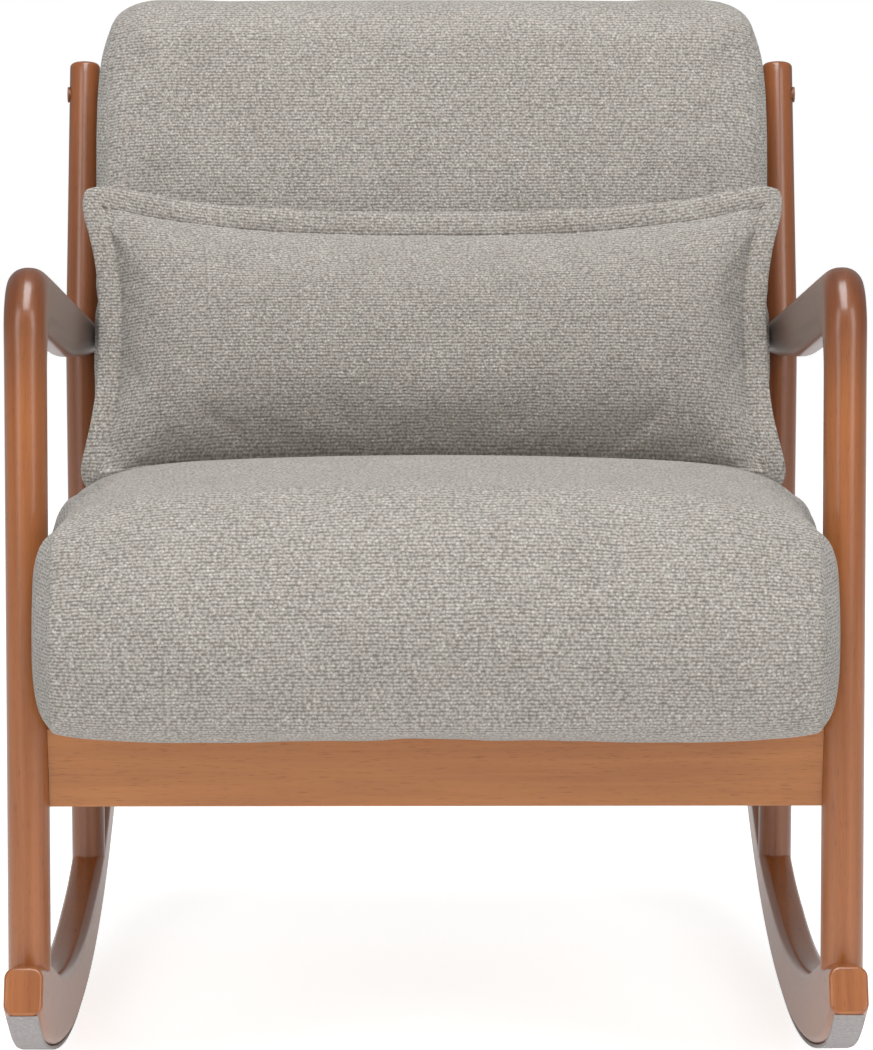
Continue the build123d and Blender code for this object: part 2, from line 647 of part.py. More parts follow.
for name, shape in left.items():
    both_sides(name, shape)
nodes.update(shared)
nodes["dowels"] = all_sides(dowels)
nodes["block_screws"] = all_sides(frame_screws[:2])
nodes["stile_screws"] = all_sides(frame_screws[2:])
nodes["back_bolts"] = all_sides([bolt])
nodes["barrel_nuts"] = all_sides([nut])
nodes["bolt_caps"] = all_sides([cap - left["post"]])
for name, bar in seat_cross_bars.items():
    nodes["seat_frame_" + name] = bar
for name, bar in back_bars.items():
    nodes["back_rail_" + name] = bar
nodes["seat_webbing"] = make_seat_straps(straps_rear_y)
nodes["back_webbing"] = make_back_straps(straps_rear)
nodes["seat_foam"] = seat_foam
nodes["seat_cover"] = seat_cover
nodes["back_foam"] = back_foam
nodes["back_cover"] = back_cover
nodes["pillow_filling"] = pillow_filling
nodes["pillow_cover"] = pillow_cover


def as_compound(shape):
    shapes = shape if isinstance(shape, list) else [shape]
    return Compound([solid for one in shapes for solid in one.solids()])


solids = {name: as_compound(shape) for name, shape in nodes.items()}
whole = Compound(list(solids.values())).bounding_box()
to_origin = Pos(0, -(whole.min.Y + whole.max.Y) / 2, -whole.min.Z)

os.makedirs("parts", exist_ok=True)
for name, solid in solids.items():
    export_step(to_origin * solid, f"parts/{name}.step")
moved = to_origin.position
print(f"{len(solids)} nodes, moved by {moved.Y:.3f} mm in Y and {moved.Z:.3f} mm in Z")
print("size", whole.size)
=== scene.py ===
# %% [markdown]
# # A rocking chair, piece by piece
# The chair has a stained hardwood frame, two rockers shod with felt, a deep upholstered seat,
# an upholstered back and a loose lumbar pillow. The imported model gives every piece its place
# and size, and this notebook gives the pieces their looks: smooth swept wood, simulated
# cushions and materials made of nodes.

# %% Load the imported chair
import json
import math

import bpy
import numpy as np
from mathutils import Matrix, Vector


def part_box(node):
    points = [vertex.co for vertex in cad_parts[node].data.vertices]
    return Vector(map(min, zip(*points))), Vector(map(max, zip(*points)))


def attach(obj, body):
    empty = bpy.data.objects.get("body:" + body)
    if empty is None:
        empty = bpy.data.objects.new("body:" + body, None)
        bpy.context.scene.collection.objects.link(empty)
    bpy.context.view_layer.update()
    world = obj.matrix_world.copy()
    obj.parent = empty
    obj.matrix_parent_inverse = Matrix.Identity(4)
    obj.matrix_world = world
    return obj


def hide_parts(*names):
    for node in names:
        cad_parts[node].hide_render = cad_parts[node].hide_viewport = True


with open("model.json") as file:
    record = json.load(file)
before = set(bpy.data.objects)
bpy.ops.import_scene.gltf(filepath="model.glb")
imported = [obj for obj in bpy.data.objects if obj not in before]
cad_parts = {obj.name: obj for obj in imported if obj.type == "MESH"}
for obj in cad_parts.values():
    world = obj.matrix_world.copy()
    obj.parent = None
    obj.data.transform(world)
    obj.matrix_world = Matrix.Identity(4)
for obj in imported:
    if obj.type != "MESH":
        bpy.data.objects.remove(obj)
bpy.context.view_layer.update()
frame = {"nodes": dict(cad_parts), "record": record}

# %% [markdown]
# ## One side view for the whole chair
# Everything in the chair's side view is set out from the front legs, as a chair maker draws
# it: how far behind them a point lies, and how high. The mount on the floor tells where the
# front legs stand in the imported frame, so all other places follow from it. The back leans,
# so it has its own axes: across, up along the posts, and forward of them.

# %% Places in the side view
MM = 0.001
CONTACT_BEHIND_LEGS = 290 * MM
LEGS_Y = frame["record"]["mounts"][0]["pos_m"][1] - CONTACT_BEHIND_LEGS
LEG_X = abs(frame["record"]["mounts"][0]["pos_m"][0])
POST_Y = 556 * MM
BEND_HEIGHT = 553 * MM
RAKE = math.radians(14.5)


def side_to_world(x, side):
    """Points across at x, and (behind the front legs, height) in the side view, as x, y, z."""
    x = np.broadcast_to(x, side.shape[:-1])
    return np.stack([x, side[..., 0] + LEGS_Y, side[..., 1]], axis=-1)


def back_to_side(up, forward):
    """A point measured along the leaning back, as a point of the side view."""
    y = POST_Y + up * math.sin(RAKE) - forward * math.cos(RAKE)
    z = BEND_HEIGHT + up * math.cos(RAKE) + forward * math.sin(RAKE)
    return np.stack([y, z], axis=-1)


print("front legs stand at y =", round(LEGS_Y, 4))

# %% [markdown]
# ## Surfaces from grids
# A grid of points becomes a mesh by joining each point to its neighbours. Turned wood and
# cushions close round on themselves, so the grid wraps in one direction, and each end is
# closed by a fan round one middle point. The UV map holds real distances in metres, so a
# weave or a grain has the same size on every piece.

# %% Grid to mesh
def new_object(name, points, faces, uv=None, smooth=True):
    """A mesh object at the origin; uv holds one pair for each corner of each face."""
    mesh = bpy.data.meshes.new(name)
    mesh.from_pydata(points.reshape(-1, 3), [], faces)
    mesh.polygons.foreach_set("use_smooth", np.full(len(mesh.polygons), smooth))
    if uv is not None:
        layer = mesh.uv_layers.new(name="cloth_and_grain")
        layer.data.foreach_set("uv", np.asarray(uv, dtype=np.float32).ravel())
    mesh.validate()
    mesh.update()
    piece = bpy.data.objects.new(name, mesh)
    bpy.context.scene.collection.objects.link(piece)
    return piece


def mesh_points(mesh):
    points = np.zeros(len(mesh.vertices) * 3, dtype=np.float32)
    mesh.vertices.foreach_get("co", points)
    return points.reshape(-1, 3).astype(float)


def set_points(piece, points):
    piece.data.vertices.foreach_set("co", points.astype(np.float32).ravel())
    piece.data.update()


def wrapped_faces(rows, columns, closed=False):
    """Quads of a grid that wraps across its columns, and its rows too if it is closed."""
    i, j = np.meshgrid(np.arange(rows if closed else rows - 1), np.arange(columns), indexing="ij")
    after, k = (i + 1) % rows, (j + 1) % columns
    corners = [i * columns + j, i * columns + k, after * columns + k, after * columns + j]
    return np.stack(corners, axis=-1).reshape(-1, 4)


def tube(name, rings, along, around):
    """A closed piece from rings of points: wrapped sides and a fan at each end.

    rings is (rows, columns, 3). along (rows) and around (columns + 1) are the UV distances.
    """
    rows, columns = rings.shape[:2]
    i, j = np.meshgrid(np.arange(rows - 1), np.arange(columns), indexing="ij")
    corner_steps = ((0, 0), (0, 1), (1, 1), (1, 0))
    quad_uv = np.stack([np.stack([around[j + dj], along[i + di]], -1) for di, dj in corner_steps], axis=2)
    points = np.concatenate([rings.reshape(-1, 3), rings[[0, -1]].mean(axis=1)])
    start, end = len(points) - 2, len(points) - 1
    here = np.arange(columns)
    after = (here + 1) % columns
    last = (rows - 1) * columns
    fans = np.concatenate([
        np.stack([after, here, np.full(columns, start)], -1),
        np.stack([here + last, after + last, np.full(columns, end)], -1),
    ])
    fan_uv = points[fans][..., [0, 2]]
    faces = wrapped_faces(rows, columns).tolist() + fans.tolist()
    uv = np.concatenate([quad_uv.reshape(-1, 2), fan_uv.reshape(-1, 2)])
    piece = new_object(name, points, faces, uv)
    sharpen_ends(piece, columns, last)
    return piece


def sharpen_ends(piece, columns, last):
    """Marks the first and last rings as sharp, so an end face doesn't bend the side's shading."""
    mesh = piece.data
    ends = np.zeros(len(mesh.edges) * 2, dtype=np.int32)
    mesh.edges.foreach_get("vertices", ends)
    ends = ends.reshape(-1, 2)
    first_ring = (ends < columns).all(axis=1)
    last_ring = ((ends >= last) & (ends < last + columns)).all(axis=1)
    sharp = mesh.attributes.new("sharp_edge", "BOOLEAN", "EDGE")
    sharp.data.foreach_set("value", first_ring | last_ring)


def lengths(points):
    """Distance along a line of points, from 0."""
    steps = np.linalg.norm(np.diff(points, axis=0), axis=1)
    return np.concatenate([[0.0], np.cumsum(steps)])


def even(points, count):
    """The same line with evenly spaced points."""
    far = lengths(points)
    where = np.linspace(0, far[-1], count)
    return np.stack([np.interp(where, far, points[:, k]) for k in range(points.shape[1])], -1)


# %% [markdown]
# ## Lines with rounded corners
# A bend of an arm or an edge of a cushion is an arc that touches the two straight lines
# beside it. Its centre lies on the line that halves the corner, so the arc's points follow
# from the corner and the radius alone.

# %% Rounded corners
def corner_arc(before, corner, after, radius, count=12):
    """Points of the arc of that radius that touches both sides of a corner."""
    into = (before - corner) / np.linalg.norm(before - corner)
    out = (after - corner) / np.linalg.norm(after - corner)
    half = math.acos(np.clip(into @ out, -1, 1)) / 2
    middle = (into + out) / np.linalg.norm(into + out)
    centre = corner + middle * radius / math.sin(half)
    start = corner + into * radius / math.tan(half) - centre
    end = corner + out * radius / math.tan(half) - centre
    turn = math.pi - 2 * half
    share = np.linspace(0, 1, count)[:, None]
    swing = np.sin((1 - share) * turn) * start + np.sin(share * turn) * end
    return centre + swing / math.sin(turn)


def rounded_line(corners, radii, closed=False):
    """A line through corners, each rounded by its own radius."""
    corners = [np.asarray(corner, dtype=float) for corner in corners]
    count = len(corners)
    parts = []
    for i, (corner, radius) in enumerate(zip(corners, radii)):
        if radius:
            parts.append(corner_arc(corners[i - 1], corner, corners[(i + 1) % count], radius))
        else:
            parts.append(corner[None])
    if closed:
        parts.append(parts[0][:1])
    return np.concatenate(parts)


# %% [markdown]
# ## Camera
# The chair is seen straight from the front, from 3 m away and from the height of the back's
# top, through a long lens that is tilted down slightly. That keeps the legs nearly upright
# and shows only a little of the top of the seat.

# %% Camera
VIEW_DISTANCE = 3000 * MM
VIEW_HEIGHT = 858 * MM
VIEW_ASIDE = -20 * MM
AIM_HEIGHT = 458.5 * MM
AIM_ASIDE = 0.5 * MM
LENS = 135.4

camera_data = bpy.data.cameras.new("camera")
camera_data.lens = LENS
camera = bpy.data.objects.new("camera", camera_data)
camera.location = (VIEW_ASIDE, LEGS_Y - VIEW_DISTANCE, VIEW_HEIGHT)
aim = Vector((AIM_ASIDE, LEGS_Y, AIM_HEIGHT)) - camera.location
camera.rotation_euler = aim.to_track_quat("-Z", "Y").to_euler()
bpy.context.scene.collection.objects.link(camera)
bpy.context.scene.camera = camera
print("camera tilted down by", round(90 - math.degrees(camera.rotation_euler.x), 2), "degrees")

# %% [markdown]
# ## Floor and light
# The chair stands on a white floor that glows faintly, as paper lit from all round does. Two
# tall softboxes stand in front, 40 degrees to each side, and draw the two long highlights
# down every round leg. A smaller one overhead lights the tops of the cushions. The room
# itself is dim, which keeps the wood's colour deep, but looks white behind the chair.

# %% Studio
FLOOR_HALF = 9.0
FLOOR_SEEN, FLOOR_GIVEN = 0.745, 0.28
ROOM_SEEN, ROOM_GIVEN = 1.0, 0.27
KEY_X, KEY_AHEAD, KEY_HEIGHT, KEY_AIM_HEIGHT = 2.05, 2.45, 1.6, 0.5
KEY_SIZE, KEY_COLOUR = (1.0, 2.3), (1.0, 0.99, 0.975)
KEY_POWER = {"left": 24, "right": 27}
OVERHEAD_PLACE, OVERHEAD_AIM = (0.0, -1.0, 2.6), (0, -0.1, 0.4)
OVERHEAD_SIZE, OVERHEAD_POWER = (1.1, 2.4), 57


def link_brightness(tree, socket, seen, given):
    """Makes a surface look as bright as seen to the camera and light the chair with given."""
    path = tree.nodes.new("ShaderNodeLightPath")
    strength = tree.nodes.new("ShaderNodeMapRange")
    tree.links.new(path.outputs["Is Camera Ray"], strength.inputs["Value"])
    strength.inputs["To Min"].default_value = given
    strength.inputs["To Max"].default_value = seen
    tree.links.new(strength.outputs[0], socket)


def make_floor():
    """A square of four corners round the chair."""
    x, y = np.meshgrid([-FLOOR_HALF, FLOOR_HALF], [-FLOOR_HALF, FLOOR_HALF])
    corners = np.stack([x.ravel(), y.ravel(), np.zeros(4)], -1)
    floor = new_object("studio_floor", corners, [[0, 1, 3, 2]])
    paper = bpy.data.materials.new("white_paper")
    paper.use_nodes = True
    shader = paper.node_tree.nodes["Principled BSDF"]
    shader.inputs["Base Color"].default_value = (0.88, 0.88, 0.88, 1)
    shader.inputs["Roughness"].default_value = 0.95
    shader.inputs["Emission Color"].default_value = (1, 1, 1, 1)
    link_brightness(paper.node_tree, shader.inputs["Emission Strength"], FLOOR_SEEN, FLOOR_GIVEN)
    floor.data.materials.append(paper)
    return floor


def softbox(name, place, target, size, power, colour=(1, 1, 1)):
    light = bpy.data.lights.new(name, "AREA")
    light.shape = "RECTANGLE"
    light.size, light.size_y = size
    light.energy = power
    light.color = colour
    lamp = bpy.data.objects.new(name, light)
    lamp.location = place
    lamp.rotation_euler = (Vector(target) - Vector(place)).to_track_quat("-Z", "Y").to_euler()
    bpy.context.scene.collection.objects.link(lamp)


def dim_room():
    world = bpy.data.worlds.new("dim_room")
    world.use_nodes = True
    background = world.node_tree.nodes["Background"]
    background.inputs["Color"].default_value = (1, 1, 1, 1)
    link_brightness(world.node_tree, background.inputs["Strength"], ROOM_SEEN, ROOM_GIVEN)
    return world


make_floor()
for name, x in (("left", -KEY_X), ("right", KEY_X)):
    place = (x, LEGS_Y - KEY_AHEAD, KEY_HEIGHT)
    softbox(f"key_{name}", place, (0, LEGS_Y, KEY_AIM_HEIGHT), KEY_SIZE, KEY_POWER[name], KEY_COLOUR)
softbox("overhead", OVERHEAD_PLACE, OVERHEAD_AIM, OVERHEAD_SIZE, OVERHEAD_POWER)
bpy.context.scene.world = dim_room()
bpy.context.scene.view_settings.view_transform = "Standard"
print("softboxes:", len(bpy.data.lights))

# %% [markdown]
# ## Node helpers
# A material is a graph. These helpers place a node with its values set, so that each
# material below reads as a list of steps from the surface's coordinates to its colour.

# %% Node helpers
def add_node(tree, kind, inputs=(), **settings):
    """A node of that kind, with settings, and inputs given as (socket, value or output)."""
    node = tree.nodes.new(kind)
    for key, value in settings.items():
        setattr(node, key, value)
    for socket, value in inputs:
        if isinstance(value, bpy.types.NodeSocket):
            tree.links.new(value, node.inputs[socket])
        else:
            node.inputs[socket].default_value = value
    return node


def maths(tree, operation, first, second=0.0, third=0.0):
    inputs = [(0, first), (1, second), (2, third)]
    return add_node(tree, "ShaderNodeMath", inputs, operation=operation).outputs[0]


def colour_mix(tree, share, first, second, blend="MIX"):
    inputs = [(0, share), (6, first), (7, second)]
    mix = add_node(tree, "ShaderNodeMix", inputs, data_type="RGBA", blend_type=blend)
    return mix.outputs[2]


def remap(tree, value, low, high, new_low=0.0, new_high=1.0, smooth=False):
    inputs = [(0, value), (1, low), (2, high), (3, new_low), (4, new_high)]
    kind = "SMOOTHSTEP" if smooth else "LINEAR"
    return add_node(tree, "ShaderNodeMapRange", inputs, interpolation_type=kind).outputs[0]


def noise(tree, vector, scale, detail=2.0, roughness=0.5, distortion=0.0):
    """The two outputs of a noise texture: a value and a colour."""
    inputs = [("Vector", vector), ("Scale", scale), ("Detail", detail),
              ("Roughness", roughness), ("Distortion", distortion)]
    return add_node(tree, "ShaderNodeTexNoise", inputs).outputs


def stretch(tree, vector, scale):
    return add_node(tree, "ShaderNodeMapping", [("Vector", vector), ("Scale", scale)]).outputs[0]


def vector_maths(tree, operation, first, second):
    inputs = [(0, first), (1, second)]
    return add_node(tree, "ShaderNodeVectorMath", inputs, operation=operation).outputs[0]


def bump(tree, height, strength, distance):
    inputs = [("Height", height), ("Strength", strength), ("Distance", distance)]
    return add_node(tree, "ShaderNodeBump", inputs).outputs[0]


def start_group(name, inputs, outputs):
    """An empty node group with named sockets: (name, socket type, default)."""
    group = bpy.data.node_groups.new(name, "ShaderNodeTree")
    for socket_name, kind, value in inputs:
        socket = group.interface.new_socket(socket_name, in_out="INPUT", socket_type=kind)
        if value is not None:
            socket.default_value = value
    for socket_name, kind in outputs:
        group.interface.new_socket(socket_name, in_out="OUTPUT", socket_type=kind)
    entry = group.nodes.new("NodeGroupInput").outputs
    leave = group.nodes.new("NodeGroupOutput").inputs
    return group, entry, leave


def start_material(name):
    material = bpy.data.materials.new(name)
    material.use_nodes = True
    tree = material.node_tree
    return material, tree, tree.nodes["Principled BSDF"]


def finish_shader(tree, shader, changing, steady):
    """Links the outputs that change over the surface, and sets the values that don't."""
    for socket, output in changing.items():
        tree.links.new(output, shader.inputs[socket])
    for socket, value in steady.items():
        shader.inputs[socket].default_value = value


# %% [markdown]
# ## Stained wood
# The frame is a pale hardwood with an orange-brown stain under a satin lacquer. Three things
# make it wood: soft bands where the growth rings surface, fine dark pores drawn out along
# the grain, and a slow change of tone from board to board. All three are noise stretched
# along the grain, so the group takes a vector whose second coordinate runs that way.

# %% Wood grain group
BAND_STRETCH = (95.0, 3.2, 95.0)
PORE_STRETCH = (1500.0, 75.0, 1500.0)
PORE_TINT = (0.52, 0.44, 0.38, 1)


def make_grain_group():
    group, entry, leave = start_group(
        "wood_grain",
        [("Vector", "NodeSocketVector", None), ("Light", "NodeSocketColor", (0.5, 0.22, 0.1, 1)),
         ("Dark", "NodeSocketColor", (0.3, 0.12, 0.05, 1)), ("Pores", "NodeSocketFloat", 0.5)],
        [("Colour", "NodeSocketColor"), ("Roughness", "NodeSocketFloat"), ("Height", "NodeSocketFloat")],
    )
    vector = entry["Vector"]
    bands = noise(group, stretch(group, vector, BAND_STRETCH), 1.0, 5.0, 0.62, 0.6)[0]
    pores = noise(group, stretch(group, vector, PORE_STRETCH), 1.0)[0]
    pore_mask = maths(group, "MULTIPLY", remap(group, pores, 0.60, 0.72), entry["Pores"])
    tone = noise(group, vector, 4.0, 1.0)[0]
    share = maths(group, "MULTIPLY", remap(group, bands, 0.32, 0.68), 0.65)
    share = maths(group, "MULTIPLY_ADD", tone, 0.35, share)
    colour = colour_mix(group, share, entry["Dark"], entry["Light"])
    darker = colour_mix(group, 1.0, colour, PORE_TINT, "MULTIPLY")
    colour = colour_mix(group, pore_mask, colour, darker)
    height = maths(group, "SUBTRACT", maths(group, "MULTIPLY", bands, 0.3), pore_mask)
    group.links.new(colour, leave["Colour"])
    group.links.new(maths(group, "MULTIPLY_ADD", bands, 0.14, 0.30), leave["Roughness"])
    group.links.new(height, leave["Height"])
    return group


# %% [markdown]
# ## Stains and lacquer
# The stain differs from piece to piece, as the maker wiped it on: lighter on the rails. The posts,
# and the arms from the elbows back, are painted darker as shade. The lacquer over it is a clear
# coat, a little blurred, so a softbox shows in it as a long soft streak.

# %% Wood materials
LACQUER = {"Specular IOR Level": 0.4, "Coat Roughness": 0.23, "Coat IOR": 1.5}
# painted shade and dark reflection: a purplish darkening laid over the stain of the arms
ELBOW_SHADE_TINT = (0.47, 0.42, 0.51, 1)
TURN_TO_GRAIN = {"X": (0, 0, math.pi / 2), "Y": (0, 0, 0), "Z": (math.pi / 2, 0, 0)}


def make_wood(name, light, dark, pores=0.5, along="UV", coat=0.8, shade_span=None):
    """Wood whose grain follows the UV map, or the X, Y or Z axis of the chair.

    deepen is (start, end) along the grain, over which painted shade darkens the stain; it stays dark
    beyond the end.
    """
    material, tree, shader = start_material(name)
    coordinates = tree.nodes.new("ShaderNodeTexCoord")
    vector = coordinates.outputs["UV"]
    if along != "UV":
        inputs = [("Vector", coordinates.outputs["Object"]), ("Rotation", TURN_TO_GRAIN[along])]
        vector = add_node(tree, "ShaderNodeMapping", inputs).outputs[0]
    inputs = [("Vector", vector), ("Light", (*light, 1)), ("Dark", (*dark, 1)), ("Pores", pores)]
    grain = add_node(tree, "ShaderNodeGroup", inputs, node_tree=GRAIN)
    colour = grain.outputs["Colour"]
    # painted shade: along the span the stain is multiplied by the purplish tint, and stays so beyond its
    # end
    if shade_span:
        run = add_node(tree, "ShaderNodeSeparateXYZ", [(0, vector)]).outputs[1]
        deep = colour_mix(tree, 1.0, colour, ELBOW_SHADE_TINT, "MULTIPLY")
        colour = colour_mix(tree, remap(tree, run, *shade_span, smooth=True), colour, deep)
    relief = bump(tree, grain.outputs["Height"], 0.35, 0.1 * MM)
    changing = {"Base Color": colour, "Roughness": grain.outputs["Roughness"], "Normal": relief}
    finish_shader(tree, shader, changing, {**LACQUER, "Coat Weight": coat})
    return material


GRAIN = make_grain_group()
STAIN_LIGHT, STAIN_DARK = (0.42, 0.142, 0.036), (0.235, 0.066, 0.015)
# painted shade: the posts stand behind the cushions, so their copy of the stain is darker
SHADED_POST_LIGHT, SHADED_POST_DARK = (0.32, 0.104, 0.033), (0.170, 0.050, 0.015)
RAIL_LIGHT, RAIL_DARK = (0.49, 0.190, 0.050), (0.345, 0.117, 0.027)
stained = {axis: make_wood(f"stained_wood_{axis.lower()}", STAIN_LIGHT, STAIN_DARK, 0.6, axis)
           for axis in ("UV", "X", "Y", "Z")}
# painted shade: a darker copy of the stain for the posts
post_stain_and_shade = make_wood("stained_wood_post", SHADED_POST_LIGHT, SHADED_POST_DARK, 0.6)
rail_stain = make_wood("stained_wood_rail", RAIL_LIGHT, RAIL_DARK, 0.7, "X", coat=0.5)
BARE_LIGHT, BARE_DARK = (0.62, 0.44, 0.26), (0.48, 0.31, 0.17)
bare = {axis: make_wood(f"bare_wood_{axis.lower()}", BARE_LIGHT, BARE_DARK, 0.4, axis, coat=0.0)
        for axis in ("X", "Y", "Z")}
print("woods:", len(stained) + len(bare) + 2)

# %% [markdown]
# ## Ribbed upholstery
# The cover is a chunky weave: rows 2.7 mm apart, each a string of small loops that stand
# proud, and yarn spun from lighter and darker fibres. The cells of a Voronoi texture, as
# wide as a loop and as high as a row, give loops that are all a little different, and a
# cosine across them draws the rows. Each cell's own random number tints its loop, and a
# soft sheen stands for the fuzz.
# The hollows between loops and rows are painted darker as shade, and the tops of the loops paler.

# %% Weave group
ROW_PITCH, LOOP_PITCH = 2.7 * MM, 2.6 * MM
DRIFT = (2.2 * MM, 1.3 * MM, 0.0)
NUB_COLOUR = (0.72, 0.70, 0.65, 1)
WARM_TINT = (1.03, 0.99, 0.96, 1)


def make_weave_group():
    group, entry, leave = start_group(
        "ribbed_weave",
        [("Vector", "NodeSocketVector", None), ("Pale", "NodeSocketColor", (0.5, 0.47, 0.42, 1)),
         ("Deep", "NodeSocketColor", (0.2, 0.18, 0.15, 1))],
        [("Colour", "NodeSocketColor"), ("Height", "NodeSocketFloat")],
    )
    vector = entry["Vector"]
    # yarns wander off their grid
    drift = noise(group, vector, 170.0)["Color"]
    drift = vector_maths(group, "SUBTRACT", drift, (0.5, 0.5, 0.5))
    moved = vector_maths(group, "ADD", vector, vector_maths(group, "MULTIPLY", drift, DRIFT))
    cells_at = stretch(group, moved, (1 / LOOP_PITCH, 1 / ROW_PITCH, 0.0))
    inputs = [("Vector", cells_at), ("Scale", 1.0), ("Randomness", 1.0)]
    cells = add_node(group, "ShaderNodeTexVoronoi", inputs, voronoi_dimensions="2D", feature="F1")
    # loops, rows, curled threads and fibres add up to the relief
    loop = remap(group, cells.outputs["Distance"], 0.05, 0.70, 1.0, 0.0, smooth=True)
    across_rows = add_node(group, "ShaderNodeSeparateXYZ", [(0, cells_at)]).outputs[1]
    row = maths(group, "COSINE", maths(group, "MULTIPLY", across_rows, 2 * math.pi))
    row = remap(group, row, -1.0, 0.7, 1.0, 0.0)
    curl = noise(group, vector, 430.0, 1.0, distortion=1.6)[0]
    curl = maths(group, "ABSOLUTE", maths(group, "SUBTRACT", curl, 0.5))
    curl = remap(group, curl, 0.0, 0.10, 1.0, 0.0, smooth=True)
    fibre = noise(group, vector, 1500.0, 2.0, 0.7)[0]
    height = maths(group, "MULTIPLY_ADD", loop, 0.40, maths(group, "MULTIPLY", row, 0.30))
    height = maths(group, "MULTIPLY_ADD", curl, 0.30, height)
    height = maths(group, "MULTIPLY_ADD", fibre, 0.22, height)
    # painted shade: yarn low in the hollows is painted darker, high yarn paler; each loop has a tint of
    # its own, and a few are pale nubs
    tint = add_node(group, "ShaderNodeSeparateColor", [(0, cells.outputs["Color"])]).outputs
    patch = maths(group, "SUBTRACT", noise(group, vector, 22.0, 4.0)[0], 0.5)
    share = maths(group, "MULTIPLY", remap(group, height, 0.18, 0.98), 0.82)
    share = maths(group, "MULTIPLY_ADD", tint[0], 0.14, share)
    share = maths(group, "MULTIPLY_ADD", patch, 0.20, share)
    colour = colour_mix(group, share, entry["Deep"], entry["Pale"])
    warm = colour_mix(group, 1.0, colour, WARM_TINT, "MULTIPLY")
    colour = colour_mix(group, tint[1], colour, warm)
    nub = maths(group, "MULTIPLY", remap(group, tint[2], 0.86, 0.95), loop)
    colour = colour_mix(group, maths(group, "MULTIPLY", nub, 0.45), colour, NUB_COLOUR)
    group.links.new(colour, leave["Colour"])
    group.links.new(maths(group, "MULTIPLY_ADD", nub, 0.2, height), leave["Height"])
    return group


def make_cloth(name, pale, deep, relief):
    material, tree, shader = start_material(name)
    coordinates = tree.nodes.new("ShaderNodeTexCoord").outputs
    inputs = [("Vector", coordinates["UV"]), ("Pale", (*pale, 1)), ("Deep", (*deep, 1))]
    weave = add_node(tree, "ShaderNodeGroup", inputs, node_tree=WEAVE).outputs
    changing = {"Base Color": weave["Colour"], "Normal": bump(tree, weave["Height"], 0.75, relief)}
    steady = {"Roughness": 0.92, "Specular IOR Level": 0.15, "Sheen Weight": 0.28, "Sheen Roughness": 0.55}
    finish_shader(tree, shader, changing, steady)
    return material


WEAVE = make_weave_group()
upholstery = make_cloth("greige_weave", (0.58, 0.557, 0.518), (0.154, 0.141, 0.124), 1.1 * MM)
print("weave of", len(WEAVE.nodes), "nodes")

# %% [markdown]
# ## Felt, foam, webbing, steel
# These finishes are hardly seen, but someone who turns the chair over finds them: pressed
# felt under the rockers, black elastic webbing, foam, zinc-plated screws and brown caps
# over the bolts.

# %% Small finishes
def make_noisy(name, colour, second, scale, roughness, relief, metallic=0.0, sheen=0.0):
    """A finish mottled by fine noise on the chair's own coordinates."""
    material, tree, shader = start_material(name)
    coordinates = tree.nodes.new("ShaderNodeTexCoord").outputs
    mottle = noise(tree, coordinates["Object"], scale, 4.0, 0.7)[0]
    mixed = colour_mix(tree, remap(tree, mottle, 0.3, 0.7), (*colour, 1), (*second, 1))
    changing = {"Base Color": mixed, "Normal": bump(tree, mottle, 0.6, relief)}
    steady = {"Roughness": roughness, "Metallic": metallic, "Sheen Weight": sheen}
    finish_shader(tree, shader, changing, steady)
    return material


felt = make_noisy("pressed_felt", (0.40, 0.375, 0.37), (0.25, 0.235, 0.235), 420, 0.95, 0.0008, sheen=0.15)
foam = make_noisy("foam", (0.80, 0.77, 0.66), (0.70, 0.66, 0.54), 500, 0.9, 0.0005)
webbing = make_noisy("elastic_webbing", (0.03, 0.03, 0.032), (0.08, 0.08, 0.085), 1200, 0.8, 0.0004)
zinc = make_noisy("zinc_plating", (0.62, 0.62, 0.63), (0.50, 0.51, 0.54), 220, 0.32, 0.0001, metallic=1.0)
cap_plastic = make_noisy("brown_cap", (0.24, 0.10, 0.045), (0.20, 0.08, 0.036), 300, 0.38, 0.0001)
print("materials:", len(bpy.data.materials))

# %% [markdown]
# ## Swept wood
# Legs, arms, posts and rockers are all one idea: a cross-section carried along a line in the
# side view. Each place on the line has an outer and an inner point, and the section is a
# rounded rectangle that spans them and has its own width across. Rings that shrink by a
# quarter circle at each end ease the sharp edge where the wood was sawn.

# %% Sweep
def section(half_width, half_depth, radius, per_corner=10):
    """A rounded rectangle as (across, along depth) for each station: (stations, points, 2)."""
    angles = np.linspace(0, math.pi / 2, per_corner)
    turns = np.concatenate([angles + quarter * math.pi / 2 for quarter in range(4)])
    signs = np.repeat(np.array([[1, 1], [-1, 1], [-1, -1], [1, -1]]), per_corner, axis=0)
    straight = np.stack([half_width - radius, half_depth - radius], -1)[:, None]
    arcs = np.stack([np.cos(turns), np.sin(turns)], -1)[None]
    return signs[None] * straight + arcs * radius[:, None, None]


GRAIN_ROUND = 100 * MM
EASE_RINGS = 4


